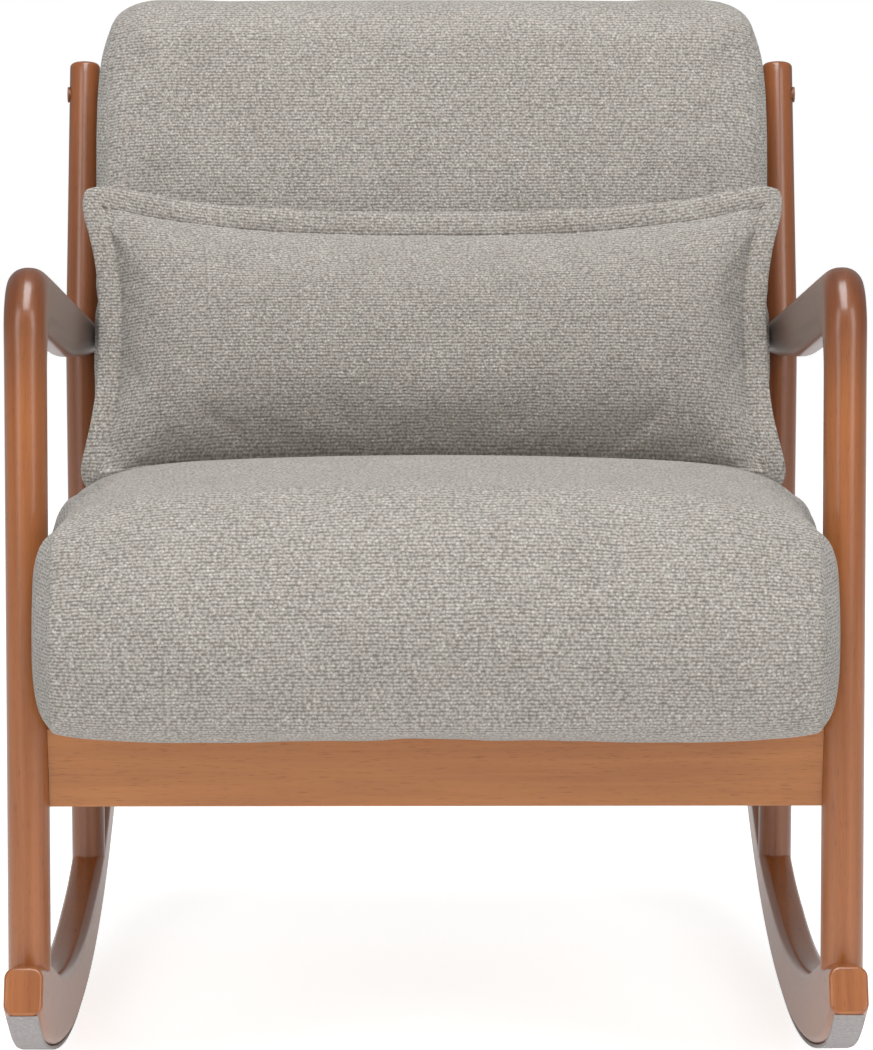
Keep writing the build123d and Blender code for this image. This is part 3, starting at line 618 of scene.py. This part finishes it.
def sweep(name, outer, inner, width, radius, x, ease=2.5 * MM, material=None):
    """Wood between two lines of the side view, width across, its long edges rounded.

    Four more rings at each end follow a quarter circle of radius ease.
    """
    count = len(outer)
    centre = (outer + inner) / 2
    depth = outer - inner
    half_depth = np.linalg.norm(depth, axis=1) / 2
    depth_way = depth / (2 * half_depth[:, None])
    half_width = np.broadcast_to(np.asarray(width, dtype=float) / 2, count)
    radius = np.minimum(np.broadcast_to(radius, count), np.minimum(half_width, half_depth) * 0.999)
    run = np.gradient(centre, axis=0)
    run /= np.linalg.norm(run, axis=1)[:, None]
    turn = np.linspace(math.pi / 2, 0, EASE_RINGS + 1)[:-1]
    narrower, further = ease * (1 - np.cos(turn)), ease * np.sin(turn)
    rows = np.concatenate([np.zeros(EASE_RINGS, int), np.arange(count), np.full(EASE_RINGS, count - 1)])
    shrink = np.concatenate([narrower, np.zeros(count), narrower[::-1]])
    outward = np.concatenate([-further, np.zeros(count), further[::-1]])
    rounding = np.maximum(radius[rows] - shrink, 0.1 * MM)
    places = section(half_width[rows] - shrink, half_depth[rows] - shrink, rounding)
    middle = centre[rows] + run[rows] * outward[:, None]
    side = middle[:, None] + places[..., 1:] * depth_way[rows][:, None]
    rings = side_to_world(places[..., 0] + x, side)
    around = np.linspace(0, GRAIN_ROUND, places.shape[1] + 1)
    piece = tube(name, rings, lengths(middle), around)
    fix_facing(piece)
    piece.data.materials.append(material or stained["UV"])
    return piece


def fix_facing(piece):
    """Turns the faces outwards if the enclosed volume comes out negative."""
    mesh = piece.data
    mesh.calc_loop_triangles()
    corners = np.zeros(len(mesh.loop_triangles) * 3, dtype=np.int32)
    mesh.loop_triangles.foreach_get("vertices", corners)
    a, b, c = mesh_points(mesh)[corners.reshape(-1, 3)].transpose(1, 0, 2)
    if (a * np.cross(b, c)).sum() < 0:
        mesh.flip_normals()


def place_pair(make, *nodes):
    """Makes a piece for each side of the chair, to stand for the CAD nodes of that side."""
    for name, x in (("left", LEG_X), ("right", -LEG_X)):
        piece = make(name, x)
        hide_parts(*[f"{node}_{name}" for node in nodes])
        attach(piece, "chair")
        print(piece.name, len(piece.data.polygons), "faces")


# %% [markdown]
# ## Rockers and felt
# Each rocker is one thick strip of bent wood. Its underside is an arc of 0.9 m radius, so
# the chair rolls evenly, and it curls up at the toe. Its depth swells under the front leg
# and thins out to the heel. The felt strip follows the same underside, a little narrower.

# %% Rockers
ROCK_RADIUS = 895 * MM
FELT_THICKNESS = 3 * MM
ROCK_CENTRE = np.array([CONTACT_BEHIND_LEGS, ROCK_RADIUS + FELT_THICKNESS])
TOE_ANGLE, TOE_TURN, TOE_RADIUS = -18.4, 21.5, 229 * MM
HEEL_ANGLE = 31.0
DEPTH_AT = [(-18.0, 63.5), (-10.0, 55.5), (0.0, 51.5), (9.0, 47.0), (18.5, 39.0), (31.0, 36.0)]
TOE_DEPTH, TOE_TILT = 37.5 * MM, math.radians(25.0)
ROCKER_WIDTH, ROCKER_EDGE = 30 * MM, 8.5 * MM
FELT_WIDTH, FELT_EDGE, FELT_EASE = 24 * MM, 0.8 * MM, 0.6 * MM
MAIN_STATIONS, TOE_STATIONS, CROWN_STATIONS = 120, 24, 600


def on_arc(centre, radius, angles):
    """Side-view points at angles, in degrees behind the lowest point of a circle."""
    turn = np.radians(angles)
    return centre + np.stack([radius * np.sin(turn), -radius * np.cos(turn)], -1)


def smooth_through(points, count):
    """A Catmull-Rom curve through points: each stretch is a cubic set by its neighbours."""
    ends = [2 * points[0] - points[1], *points, 2 * points[-1] - points[-2]]
    padded = np.array(ends)
    share = np.linspace(0, len(points) - 1.000001, count)
    i = share.astype(int)
    t = (share - i)[:, None]
    p0, p1, p2, p3 = (padded[i + k] for k in range(4))
    curve = 2 * p1 + (p2 - p0) * t + (2 * p0 - 5 * p1 + 4 * p2 - p3) * t ** 2
    return (curve + (3 * p1 - p0 - 3 * p2 + p3) * t ** 3) / 2


def sole_line(drop):
    """The rocker's underside from heel to toe, moved down by a drop."""
    angles = np.linspace(HEEL_ANGLE, TOE_ANGLE, MAIN_STATIONS)
    main = on_arc(ROCK_CENTRE, ROCK_RADIUS + drop, angles)
    toe_centre = on_arc(ROCK_CENTRE, ROCK_RADIUS - TOE_RADIUS, TOE_ANGLE)
    toe_angles = np.linspace(TOE_ANGLE, TOE_ANGLE - TOE_TURN, TOE_STATIONS)
    return main, on_arc(toe_centre, TOE_RADIUS + drop, toe_angles)


def crown_line(toe_end):
    """The rocker's top: a curve through its depth at a few angles, and the top of the toe."""
    crown = [on_arc(ROCK_CENTRE, ROCK_RADIUS - depth * MM, angle) for angle, depth in reversed(DEPTH_AT)]
    toe_top = toe_end + TOE_DEPTH * np.array([math.sin(TOE_TILT), math.cos(TOE_TILT)])
    return smooth_through(np.array([*crown, toe_top]), CROWN_STATIONS)


def make_rocker(side, x):
    main, toe = sole_line(0.0)
    crown = crown_line(toe[-1])
    far = lengths(crown)
    at_leg = far[int(CROWN_STATIONS * (len(DEPTH_AT) - 1) / len(DEPTH_AT))]
    stations = [np.linspace(0, at_leg, MAIN_STATIONS), np.linspace(at_leg, far[-1], TOE_STATIONS)]
    stations = np.concatenate(stations)
    top = np.stack([np.interp(stations, far, crown[:, k]) for k in range(2)], -1)
    sole = np.concatenate([main, toe])
    keep = np.arange(len(sole)) != MAIN_STATIONS
    return sweep(f"rocker_{side}", top[keep], sole[keep], ROCKER_WIDTH, ROCKER_EDGE, x)


def make_felt_strip(side, x):
    upper = np.concatenate([line[1:] for line in sole_line(0.0)])
    lower = np.concatenate([line[1:] for line in sole_line(FELT_THICKNESS)])
    return sweep(f"felt_strip_{side}", upper, lower, FELT_WIDTH, FELT_EDGE, x, FELT_EASE, felt)


place_pair(make_rocker, "rocker")
place_pair(make_felt_strip, "felt_strip")

# %% [markdown]
# ## Legs, posts and arms
# A front leg is round and leans back a little. At the top it turns into the arm in one
# smooth elbow, and the round section grows into a deep oval that tapers again towards the
# post. On the real chair the leg and the arm are glued and sanded until the joint hardly
# shows, so here they are one sweep that stands for both. A post is a round pole with a
# gentle bend above the rails.

# %% Front legs and arms
LEG_DIAMETER = 33 * MM
FOOT = np.array([-8, 112]) * MM
LEAN = math.radians(4.0)
UP_THE_LEG = np.array([math.sin(LEAN), math.cos(LEAN)])
ACROSS_THE_LEG = np.array([math.cos(LEAN), -math.sin(LEAN)])
FOOT_CUT = (2.0 * MM, -4.0 * MM)
ARM_DROP = math.radians(9.3)
ARM_TOP, ARM_DEPTH, ARM_REAR_DEPTH = 657 * MM, 48 * MM, 33 * MM
ARM_REAR = POST_Y - 8 * MM
TAPER_START = 355 * MM
ELBOW_RADIUS, ARMPIT_RADIUS, TAPER_RADIUS = 46 * MM, 34 * MM, 600 * MM
LEG_LENGTH = (560 * MM - FOOT[1]) / math.cos(LEAN)
SAWN = 0.1 * MM
STATIONS = {"leg": 60, "elbow": 48, "arm": 90}
# painted shade: the arm's stain darkens from just below the elbow along the whole arm
arm_stain_and_shade = make_wood("stained_wood_arm", STAIN_LIGHT, STAIN_DARK, 0.6,
                      shade_span=(LEG_LENGTH - 30 * MM, LEG_LENGTH + 80 * MM))


def leg_centre(height):
    return FOOT + UP_THE_LEG * (height - FOOT[1]) / math.cos(LEAN)


def arm_line(y, below=0.0):
    """Height of the arm's top, or of a line below it."""
    return ARM_TOP - (y - leg_centre(ARM_TOP)[0]) * math.tan(ARM_DROP) - below


def leg_line_meets_arm(start, below):
    """Where a line up the leg's side meets the line that far below the arm's top."""
    slope = math.tan(ARM_DROP)
    rise = (arm_line(start[0], below) - start[1]) / (1 + slope * math.tan(LEAN))
    return start + np.array([rise * math.tan(LEAN), rise])


def smooth_step(share):
    """0 below 0, 1 above 1, and a soft S between them."""
    share = np.clip(share, 0, 1)
    return share * share * (3 - 2 * share)


def make_leg_and_arm(side, x):
    """Foot to post in one sweep; the foot is cut at the slant of the rocker's top."""
    across = ACROSS_THE_LEG * LEG_DIAMETER / 2
    front = FOOT - across + UP_THE_LEG * FOOT_CUT[0]
    back = FOOT + across + UP_THE_LEG * FOOT_CUT[1]
    elbow = leg_line_meets_arm(front, 0.0)
    armpit = leg_line_meets_arm(back, ARM_DEPTH)
    taper = (TAPER_START, arm_line(TAPER_START, ARM_DEPTH))
    top_end = (ARM_REAR, arm_line(ARM_REAR))
    low_end = (ARM_REAR, arm_line(ARM_REAR, ARM_REAR_DEPTH))
    outer = rounded_line([front, elbow, top_end], [0, ELBOW_RADIUS, 0])
    inner = rounded_line([back, armpit, taper, low_end], [0, ARMPIT_RADIUS, TAPER_RADIUS, 0])
    outer, inner = match_bend(outer, inner, FOOT_CUT[0] - FOOT_CUT[1])
    share = smooth_step((lengths(outer) - LEG_LENGTH - 40 * MM) / (150 * MM))
    radius = LEG_DIAMETER / 2 * (1 - 0.10 * share)
    return sweep(f"leg_and_arm_{side}", outer, inner, LEG_DIAMETER, radius, x, SAWN, arm_stain_and_shade)


def match_bend(outer, inner, lead, arc_points=12):
    """The same stations for both lines: up the leg, round the elbow, along the arm.

    lead is how much higher up the leg the outer line starts.
    """
    straight = lengths(inner)[1]
    lines = []
    for line, ahead in ((outer, lead), (inner, 0.0)):
        far = lengths(line)
        stops = [0.0, straight - ahead, far[arc_points], far[-1]]
        places = [np.linspace(stops[i], stops[i + 1], count, endpoint=False)
                  for i, count in enumerate(STATIONS.values())]
        places = np.concatenate([*places, far[-1:]])
        lines.append(np.stack([np.interp(places, far, line[:, k]) for k in range(2)], -1))
    return lines


# %% Rear posts
POST_DIAMETER, POST_TOP_DIAMETER = 30 * MM, 27 * MM
POST_FOOT, POST_TOP = 75 * MM, 809 * MM
POST_BEND_RADIUS, POST_EASE = 160 * MM, 4 * MM


def make_post(side, x):
    foot = np.array([POST_Y, POST_FOOT])
    bend = np.array([POST_Y, BEND_HEIGHT])
    top = back_to_side((POST_TOP - BEND_HEIGHT) / math.cos(RAKE), 0.0)
    line = even(rounded_line([foot, bend, top], [0, POST_BEND_RADIUS, 0]), 110)
    run = np.gradient(line, axis=0)
    run /= np.linalg.norm(run, axis=1)[:, None]
    slim = np.interp(line[:, 1], [BEND_HEIGHT, POST_TOP], [POST_DIAMETER, POST_TOP_DIAMETER])
    across = np.stack([run[:, 1], -run[:, 0]], -1) * slim[:, None] / 2
    keep = slice(0, -2)
    front, back, slim = (line - across)[keep], (line + across)[keep], slim[keep]
    return sweep(f"post_{side}", front, back, slim, slim, x, POST_EASE, post_stain_and_shade)


place_pair(make_leg_and_arm, "front_leg", "arm")
place_pair(make_post, "post")

# %% [markdown]
# ## Upholstered blocks
# The seat and the back are made alike: one long band of cloth runs over the front, the top
# and the rear, and a shaped panel closes each side, joined to the band by a seam. The
# surface is the side outline carried across the chair. Towards each seam the outline draws
# in along a quarter ellipse, more on top than in front, and the side panel swells out again
# between its seams.

# %% Block surface
def facing_mix(normals, front, top, rear, bottom):
    """A value for each outline point, mixed by the way its normal points."""
    weights = np.stack([
        np.maximum(0, -normals[:, 0]), np.maximum(0, normals[:, 1]),
        np.maximum(0, normals[:, 0]), np.maximum(0, -normals[:, 1]),
    ], -1) ** 2
    return weights @ np.array([front, top, rear, bottom]) / weights.sum(axis=1)


def outline_normals(outline):
    """Outward normals of an anticlockwise or clockwise closed outline (last point not repeated)."""
    run = np.roll(outline, -1, axis=0) - np.roll(outline, 1, axis=0)
    normal = np.stack([run[:, 1], -run[:, 0]], -1)
    normal /= np.linalg.norm(normal, axis=1)[:, None]
    if ((outline - outline.mean(axis=0)) * normal).sum() < 0:
        normal = -normal
    return normal


SEAM_PULL, SEAM_BELL = 1.8 * MM, 2.5 * MM
SIDE_ROWS, ACROSS_ROWS = 13, 64


def block_rings(outline, seam_x, draw_in, ease_in, crown, side_swell, widen=0.0):
    """Rings of the block from one side's middle to the other: their x, and their side view.

    draw_in, crown and widen are one value for each outline point: how far the outline draws
    in at the seam, how far it stands proud at the chair's centre, and how much further out
    its side panel stands. The seam itself is pulled in by its thread, like a narrow bell.
    """
    normals = outline_normals(outline)
    # rows of points across the chair, closer together towards the seams
    angle = np.linspace(-math.pi / 2, math.pi / 2, ACROSS_ROWS)
    x = seam_x * np.sin(angle) * (1 + 0.12 * np.cos(angle) ** 2)
    # from 0 where the drawing in begins to almost 1 at the seam: short of a full quarter ellipse
    t = np.clip((np.abs(x) - (seam_x - ease_in)) / ease_in, 0, 1) * 0.985
    draw = (1 - np.sqrt(1 - t ** 2))[:, None] * draw_in[None]
    draw = draw + SEAM_PULL * np.exp(-((seam_x - np.abs(x)) / SEAM_BELL) ** 2)[:, None]
    swell = ((1 - np.minimum(1, (x / seam_x) ** 2)) ** 0.8)[:, None] * crown[None]
    band = outline[None] + normals[None] * (swell - draw)[..., None]
    # the side panel is the outline shrunk by k, and it swells out fast behind the seam
    middle = band[0].mean(axis=0)
    k = np.linspace(1, 0.06, SIDE_ROWS + 1)[1:] ** 0.9
    panel = middle + (band[0] - middle)[None] * k[:, None, None]
    out = side_swell * (1 - k ** 9)
    side = np.concatenate([panel[::-1], band, panel])
    xs = np.concatenate([-(seam_x + out)[::-1], x, seam_x + out])
    wider = np.clip((np.abs(xs) - 0.6 * seam_x) / (0.4 * seam_x), 0, 1) ** 2 * np.sign(xs)
    xs = xs[:, None] + wider[:, None] * np.broadcast_to(widen, len(outline))[None]
    return xs, side


def block_piece(name, outline, seam_x, **shape):
    rings = side_to_world(*block_rings(outline, seam_x, **shape))
    rows, columns = rings.shape[:2]
    arc = lengths(np.concatenate([outline, outline[:1]]))
    piece = tube(name, rings, lengths(rings[:, columns // 2]), arc)
    set_cloth_uv(piece, rows, columns, arc)
    fix_facing(piece)
    piece.data.materials.append(upholstery)
    seam_rows = [SIDE_ROWS, rows - 1 - SIDE_ROWS]
    seam = np.concatenate([np.arange(columns) + row * columns for row in seam_rows])
    return piece, seam


def set_cloth_uv(piece, rows, columns, arc):
    """On the band the weave's rows run across the chair; on a side panel, front to rear."""
    mesh = piece.data
    loops = np.zeros(len(mesh.loops), dtype=np.int32)
    mesh.loops.foreach_get("vertex_index", loops)
    totals = np.zeros(len(mesh.polygons), dtype=np.int32)
    mesh.polygons.foreach_get("loop_total", totals)
    face = np.repeat(np.arange(len(totals)), totals)
    points = mesh_points(mesh)[loops]
    column = loops % columns
    on_grid = face < (rows - 1) * columns
    on_band = on_grid & (face // columns >= SIDE_ROWS) & (face // columns < rows - 1 - SIDE_ROWS)
    wrapped = on_grid & (face % columns == columns - 1) & (column == 0)
    band_v = np.where(wrapped, arc[-1], arc[column])
    uv = np.where(on_band[:, None], np.stack([points[:, 0], band_v], -1), points[:, [1, 2]])
    mesh.uv_layers[0].data.foreach_set("uv", uv.astype(np.float32).ravel())


# %% [markdown]
# ## Stuffing the cushions
# The cloth solver blows each cover up a little from inside, as its foam does, while the
# seams are held. That gives the slack between seams and the small puckers at the corners
# that a formula wouldn't. No point may move further than a limit, so the cushion keeps its
# size. The thread's pull along a seam is part of the shape that the solver starts from.

# %% Cloth simulation
FRAMES = 20
CLOTH_QUALITY, CLOTH_MASS = 6, 0.3


def stuff(piece, pressure, limit, held, stiffness, bending, spare):
    """Blows the cover up and writes the result to its mesh; held points don't move.

    spare is the share by which the cloth is larger than its starting shape. A point that
    wants to go far is eased to the limit by a hyperbolic tangent.
    """
    before = mesh_points(piece.data)
    group = piece.vertex_groups.new(name="seam")
    group.add(held.tolist(), 1.0, "REPLACE")
    cloth = piece.modifiers.new("stuffing", "CLOTH")
    settings = cloth.settings
    settings.quality, settings.mass = CLOTH_QUALITY, CLOTH_MASS
    settings.tension_stiffness = settings.compression_stiffness = stiffness
    settings.shear_stiffness = stiffness / 2
    settings.bending_stiffness = bending
    settings.use_pressure = True
    settings.uniform_pressure_force = pressure
    settings.effector_weights.gravity = 0.0
    settings.shrink_min = -spare
    settings.vertex_group_mass = "seam"
    cloth.collision_settings.use_self_collision = False
    cloth.point_cache.frame_start, cloth.point_cache.frame_end = 1, FRAMES
    scene = bpy.context.scene
    for number in range(1, FRAMES + 1):
        scene.frame_set(number)
    graph = bpy.context.evaluated_depsgraph_get()
    moved = mesh_points(piece.evaluated_get(graph).to_mesh()) - before
    piece.evaluated_get(graph).to_mesh_clear()
    piece.modifiers.remove(cloth)
    piece.vertex_groups.clear()
    scene.frame_set(1)
    far = np.linalg.norm(moved, axis=1)
    share = np.minimum(1.0, limit * np.tanh(far / limit) / np.maximum(far, 1e-9))
    set_points(piece, before + moved * share[:, None])
    print(piece.name, "moved by up to", round(float(far.max()) / MM, 1), "mm")


def finish_cushion(piece, body, fill, *nodes):
    smooth = piece.modifiers.new("smooth_cloth", "SUBSURF")
    smooth.levels = smooth.render_levels = 1
    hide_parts(*nodes)
    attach(piece, body)


# %% [markdown]
# ## Seat
# The seat is deep and springy: its front bulges past the legs, its top is domed and falls
# towards the back, and its lower edge rolls under just above the rail.

# %% Seat
SEAT_FRONT, SEAT_REAR = -104 * MM, 122 * MM
SEAT_BOTTOM, SEAT_BELLY, SEAT_SHOULDER = 305 * MM, 385 * MM, 474 * MM
SEAT_CREST, SEAT_CREST_BEHIND, SEAT_REAR_TOP = 486 * MM, 95 * MM, 446 * MM
SEAT_SEAM_X, SEAT_EASE_IN, SEAT_SWELL = 283 * MM, 105 * MM, 14.5 * MM
FRONT_WIDEN, WIDEN_FROM, WIDEN_OVER = 8 * MM, -20 * MM, 40 * MM


def back_face(height, forward):
    """The side-view place where a plane parallel to the back is at a height."""
    up = (height - BEND_HEIGHT - forward * math.sin(RAKE)) / math.cos(RAKE)
    return back_to_side(np.float64(up), np.float64(forward))


def make_seat():
    corners = [
        (SEAT_FRONT + 12 * MM, SEAT_BOTTOM),
        (SEAT_FRONT + 1 * MM, SEAT_BELLY),
        (SEAT_FRONT + 46 * MM, SEAT_SHOULDER),
        (SEAT_CREST_BEHIND, SEAT_CREST),
        back_face(SEAT_REAR_TOP, SEAT_REAR),
        back_face(SEAT_BOTTOM, SEAT_REAR),
    ]
    radii = [26 * MM, 120 * MM, 58 * MM, 300 * MM, 22 * MM, 12 * MM]
    outline = even(rounded_line(corners, radii, closed=True), 181)[:-1]
    normals = outline_normals(outline)
    draw_in = facing_mix(normals, 11.5 * MM, 15.5 * MM, 14 * MM, 7 * MM)
    crown = facing_mix(normals, 9 * MM, 12 * MM, 0.0, 0.0)
    widen = FRONT_WIDEN * smooth_step((WIDEN_FROM - outline[:, 0]) / WIDEN_OVER)
    seat, seam = block_piece("seat_cushion", outline, SEAT_SEAM_X, draw_in=draw_in, crown=crown,
                             ease_in=SEAT_EASE_IN, side_swell=SEAT_SWELL, widen=widen)
    stuff(seat, pressure=3.0, limit=4 * MM, held=seam, stiffness=25.0, bending=1.5, spare=0.015)
    finish_cushion(seat, "chair", 0.95, "seat_cover", "seat_foam")
    print("seat size", [round(float(side), 3) for side in seat.dimensions])


make_seat()

# %% [markdown]
# ## Back
# The back is the same kind of block, standing between the posts and leaning with them. Its
# top rolls over in one soft curve and its front is nearly flat.

# %% Back
BACK_LOW, BACK_HIGH = -225 * MM, 294 * MM
BACK_REAR, BACK_FRONT, BACK_FRONT_TOP = -13 * MM, 122 * MM, 116 * MM
BACK_SEAM_X, BACK_EASE_IN, BACK_SWELL = 285.5 * MM, 44 * MM, 10 * MM


def make_back():
    corners = [
        back_to_side(BACK_LOW, BACK_FRONT),
        back_to_side(BACK_HIGH, BACK_FRONT_TOP),
        back_to_side(BACK_HIGH, BACK_REAR),
        back_to_side(BACK_LOW, BACK_REAR),
    ]
    radii = [24 * MM, 46 * MM, 26 * MM, 10 * MM]
    outline = even(rounded_line(corners, radii, closed=True), 201)[:-1]
    normals = outline_normals(outline)
    draw_in = facing_mix(normals, 16 * MM, 27 * MM, 8 * MM, 14 * MM)
    crown = facing_mix(normals, 3 * MM, 3 * MM, 0.0, 0.0)
    back, seam = block_piece("back_cushion", outline, BACK_SEAM_X, draw_in=draw_in, crown=crown,
                             ease_in=BACK_EASE_IN, side_swell=BACK_SWELL)
    stuff(back, pressure=3.0, limit=2.5 * MM, held=seam, stiffness=25.0, bending=1.5, spare=0.01)
    finish_cushion(back, "chair", 0.95, "back_cover", "back_foam")
    print("back size", [round(float(side), 3) for side in back.dimensions])


make_back()

# %% [markdown]
# ## Lumbar pillow
# The pillow is two layers of cloth sewn together inside a flat flange and blown up by the
# filling. The filling takes cloth, so the edges draw in between the corners, and most along
# the top, because the bottom rests on the seat. The solver gets a little more cloth than
# the seam has room for, and the spare cloth makes the puckers beside the seam.

# %% Pillow
SEAM_HALF = np.array([286, 112]) * MM
PILLOW_UP, PILLOW_FORWARD = -23.5 * MM, 172 * MM
SIDE_PINCH, TOP_PINCH, CORNER_HANG = 18 * MM, 25 * MM, 9 * MM
FRONT_DOME, REAR_DOME, REAR_LIMIT = 46 * MM, 38 * MM, -46 * MM


def pillow_to_world(local):
    """From the pillow's own across, up and forward to the chair's frame."""
    side = back_to_side(local[..., 1] + PILLOW_UP, local[..., 2] + PILLOW_FORWARD)
    return side_to_world(local[..., 0], side)


def pinched(u, v):
    """The place of (u, v), each from -1 to 1.

    An edge draws in by 1 minus a power of the place along it.
    """
    x = u * (SEAM_HALF[0] - SIDE_PINCH * (1 - np.abs(v) ** 2.6))
    draw = np.where(v > 0, TOP_PINCH * (1 - np.abs(u) ** 2.8), -CORNER_HANG * np.abs(u) ** 6)
    y = v * (SEAM_HALF[1] - draw * np.abs(v))
    return np.stack([x, y], -1)


def grid_faces(index):
    """Quads between the neighbours of a grid of point numbers."""
    corners = [index[:-1, :-1], index[1:, :-1], index[1:, 1:], index[:-1, 1:]]
    return np.stack(corners, -1).reshape(-1, 4)


def pillow_bag(columns=115, rows=49):
    """Two grids with a shared border, each domed by the product of two arches."""
    u = np.sin(np.linspace(-1.35, 1.35, columns)) / math.sin(1.35)
    v = np.sin(np.linspace(-1.3, 1.3, rows)) / math.sin(1.3)
    u, v = np.meshgrid(u, v, indexing="ij")
    arch = (1 - np.abs(u) ** 6) ** 0.6 * (1 - np.abs(v) ** 2.8) ** 0.6
    flat = pinched(u, v)
    inside = np.zeros((columns, rows), bool)
    inside[1:-1, 1:-1] = True
    front = np.concatenate([flat, FRONT_DOME * arch[..., None]], -1).reshape(-1, 3)
    rear = np.concatenate([flat, -REAR_DOME * arch[..., None]], -1)[inside]
    index = np.arange(columns * rows).reshape(columns, rows)
    rear_index = index.copy()
    rear_index[inside] = columns * rows + np.arange(inside.sum())
    faces = np.concatenate([grid_faces(index), grid_faces(rear_index)[:, ::-1]])
    level = np.stack([u, v], -1) * SEAM_HALF
    level = np.concatenate([level.reshape(-1, 2), level[inside]])
    border = np.concatenate([index[:, 0], index[-1, 1:], index[-2::-1, -1], index[0, -2:0:-1]])
    rim = np.stack([u, v], -1).reshape(-1, 2)[border]
    return np.concatenate([front, rear]), faces, level[faces.reshape(-1)], border, rim


# %% Pillow's flange
FLANGE_WIDTH = 19 * MM
HEM_HALF, HEM_TUCK, HEM_FAN = 4.2 * MM, 3 * MM, 5 * MM
HEM_FOLD = math.radians(78)
RIPPLES = ((1.5 * MM, 13 * MM, 0.0), (1.2 * MM, 31 * MM, 1.0))


def make_flange(rim):
    """A padded hem round the seam: at each place a flat oval section, thin where it is stitched.

    It stands out square to the seam, and fans round a corner because the way out mixes both
    edges' normals there, each fading with the distance from the corner along the other edge.
    Along the bottom it folds back over the seat.
    """
    seam = pinched(*rim.T)
    out = np.sign(rim) * np.exp((np.abs(rim) - 1) * SEAM_HALF / HEM_FAN)
    out = out / np.linalg.norm(out, axis=1)[:, None]
    far = lengths(np.concatenate([seam, seam[:1]]))[:-1]
    ripple = sum(height * np.sin(far / length + start) for height, length, start in RIPPLES)
    turn = np.linspace(0, 2 * math.pi, 25)[:-1]
    reach = (0.5 - 0.5 * np.cos(turn)) * (FLANGE_WIDTH + HEM_TUCK) - HEM_TUCK
    rise = HEM_HALF * np.sign(np.sin(turn)) * np.abs(np.sin(turn)) ** 0.8
    rise = rise[None] + ripple[:, None] * np.clip(reach / FLANGE_WIDTH, 0, 1)[None]
    fold = HEM_FOLD * np.clip(-out[:, 1:], 0, 1) ** 2
    across = reach * np.cos(fold) + rise * np.sin(fold)
    lift = rise * np.cos(fold) - reach * np.sin(fold)
    place = seam[:, None] + out[:, None] * across[..., None]
    place = np.concatenate([place, lift[..., None]], -1)
    faces = wrapped_faces(*place.shape[:2], closed=True)
    level = (rim * SEAM_HALF)[:, None] + out[:, None] * reach[None, :, None]
    uv = level.reshape(-1, 2)[faces.reshape(-1)]
    hem = new_object("pillow_flange", pillow_to_world(place), faces.tolist(), uv)
    fix_facing(hem)
    hem.data.materials.append(upholstery)
    return hem


def make_pillow():
    points, faces, uv, border, rim = pillow_bag()
    cushion = new_object("pillow", points, faces.tolist(), uv)
    cushion.data.materials.append(upholstery)
    fix_facing(cushion)
    stuff(cushion, pressure=6.0, limit=7 * MM, held=border, stiffness=20.0, bending=0.6, spare=0.012)
    local = mesh_points(cushion.data)
    local[:, 2] = np.maximum(local[:, 2], REAR_LIMIT)
    print("pillow size", (local.max(axis=0) - local.min(axis=0)).round(3))
    set_points(cushion, pillow_to_world(local))
    finish_cushion(cushion, "pillow", 0.8, "pillow_cover", "pillow_filling")
    finish_cushion(make_flange(rim), "pillow", 0.3)


make_pillow()

# %% [markdown]
# ## Finishes for the pieces that stay as they are
# The rails, the blocks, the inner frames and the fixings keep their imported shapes. Each gets
# the finish of its kind, with the grain along its longer side.

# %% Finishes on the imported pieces
BARE_WORDS = ("dowels", "seat_frame", "back_", "corner_block")
FINISH_WORDS = {"webbing": webbing, "foam": foam, "filling": foam, "felt": felt, "bolt_caps": cap_plastic,
                "screws": zinc, "bolts": zinc, "nuts": zinc, "cover": upholstery}


def finish_for(name):
    """Bare wood along the longest side, stained wood on the rails, or what a word says."""
    material = stained["Y"] if name.startswith("side_rail") else rail_stain
    if any(word in name for word in BARE_WORDS):
        low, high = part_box(name)
        spans = [high[k] - low[k] for k in range(3)]
        material = bare["XYZ"[spans.index(max(spans))]]
    for word, finish in FINISH_WORDS.items():
        if word in name:
            material = finish
    return material


for name, piece in frame["nodes"].items():
    piece.data.materials.clear()
    piece.data.materials.append(finish_for(name))
print("packed pieces finished:", len(frame["nodes"]))
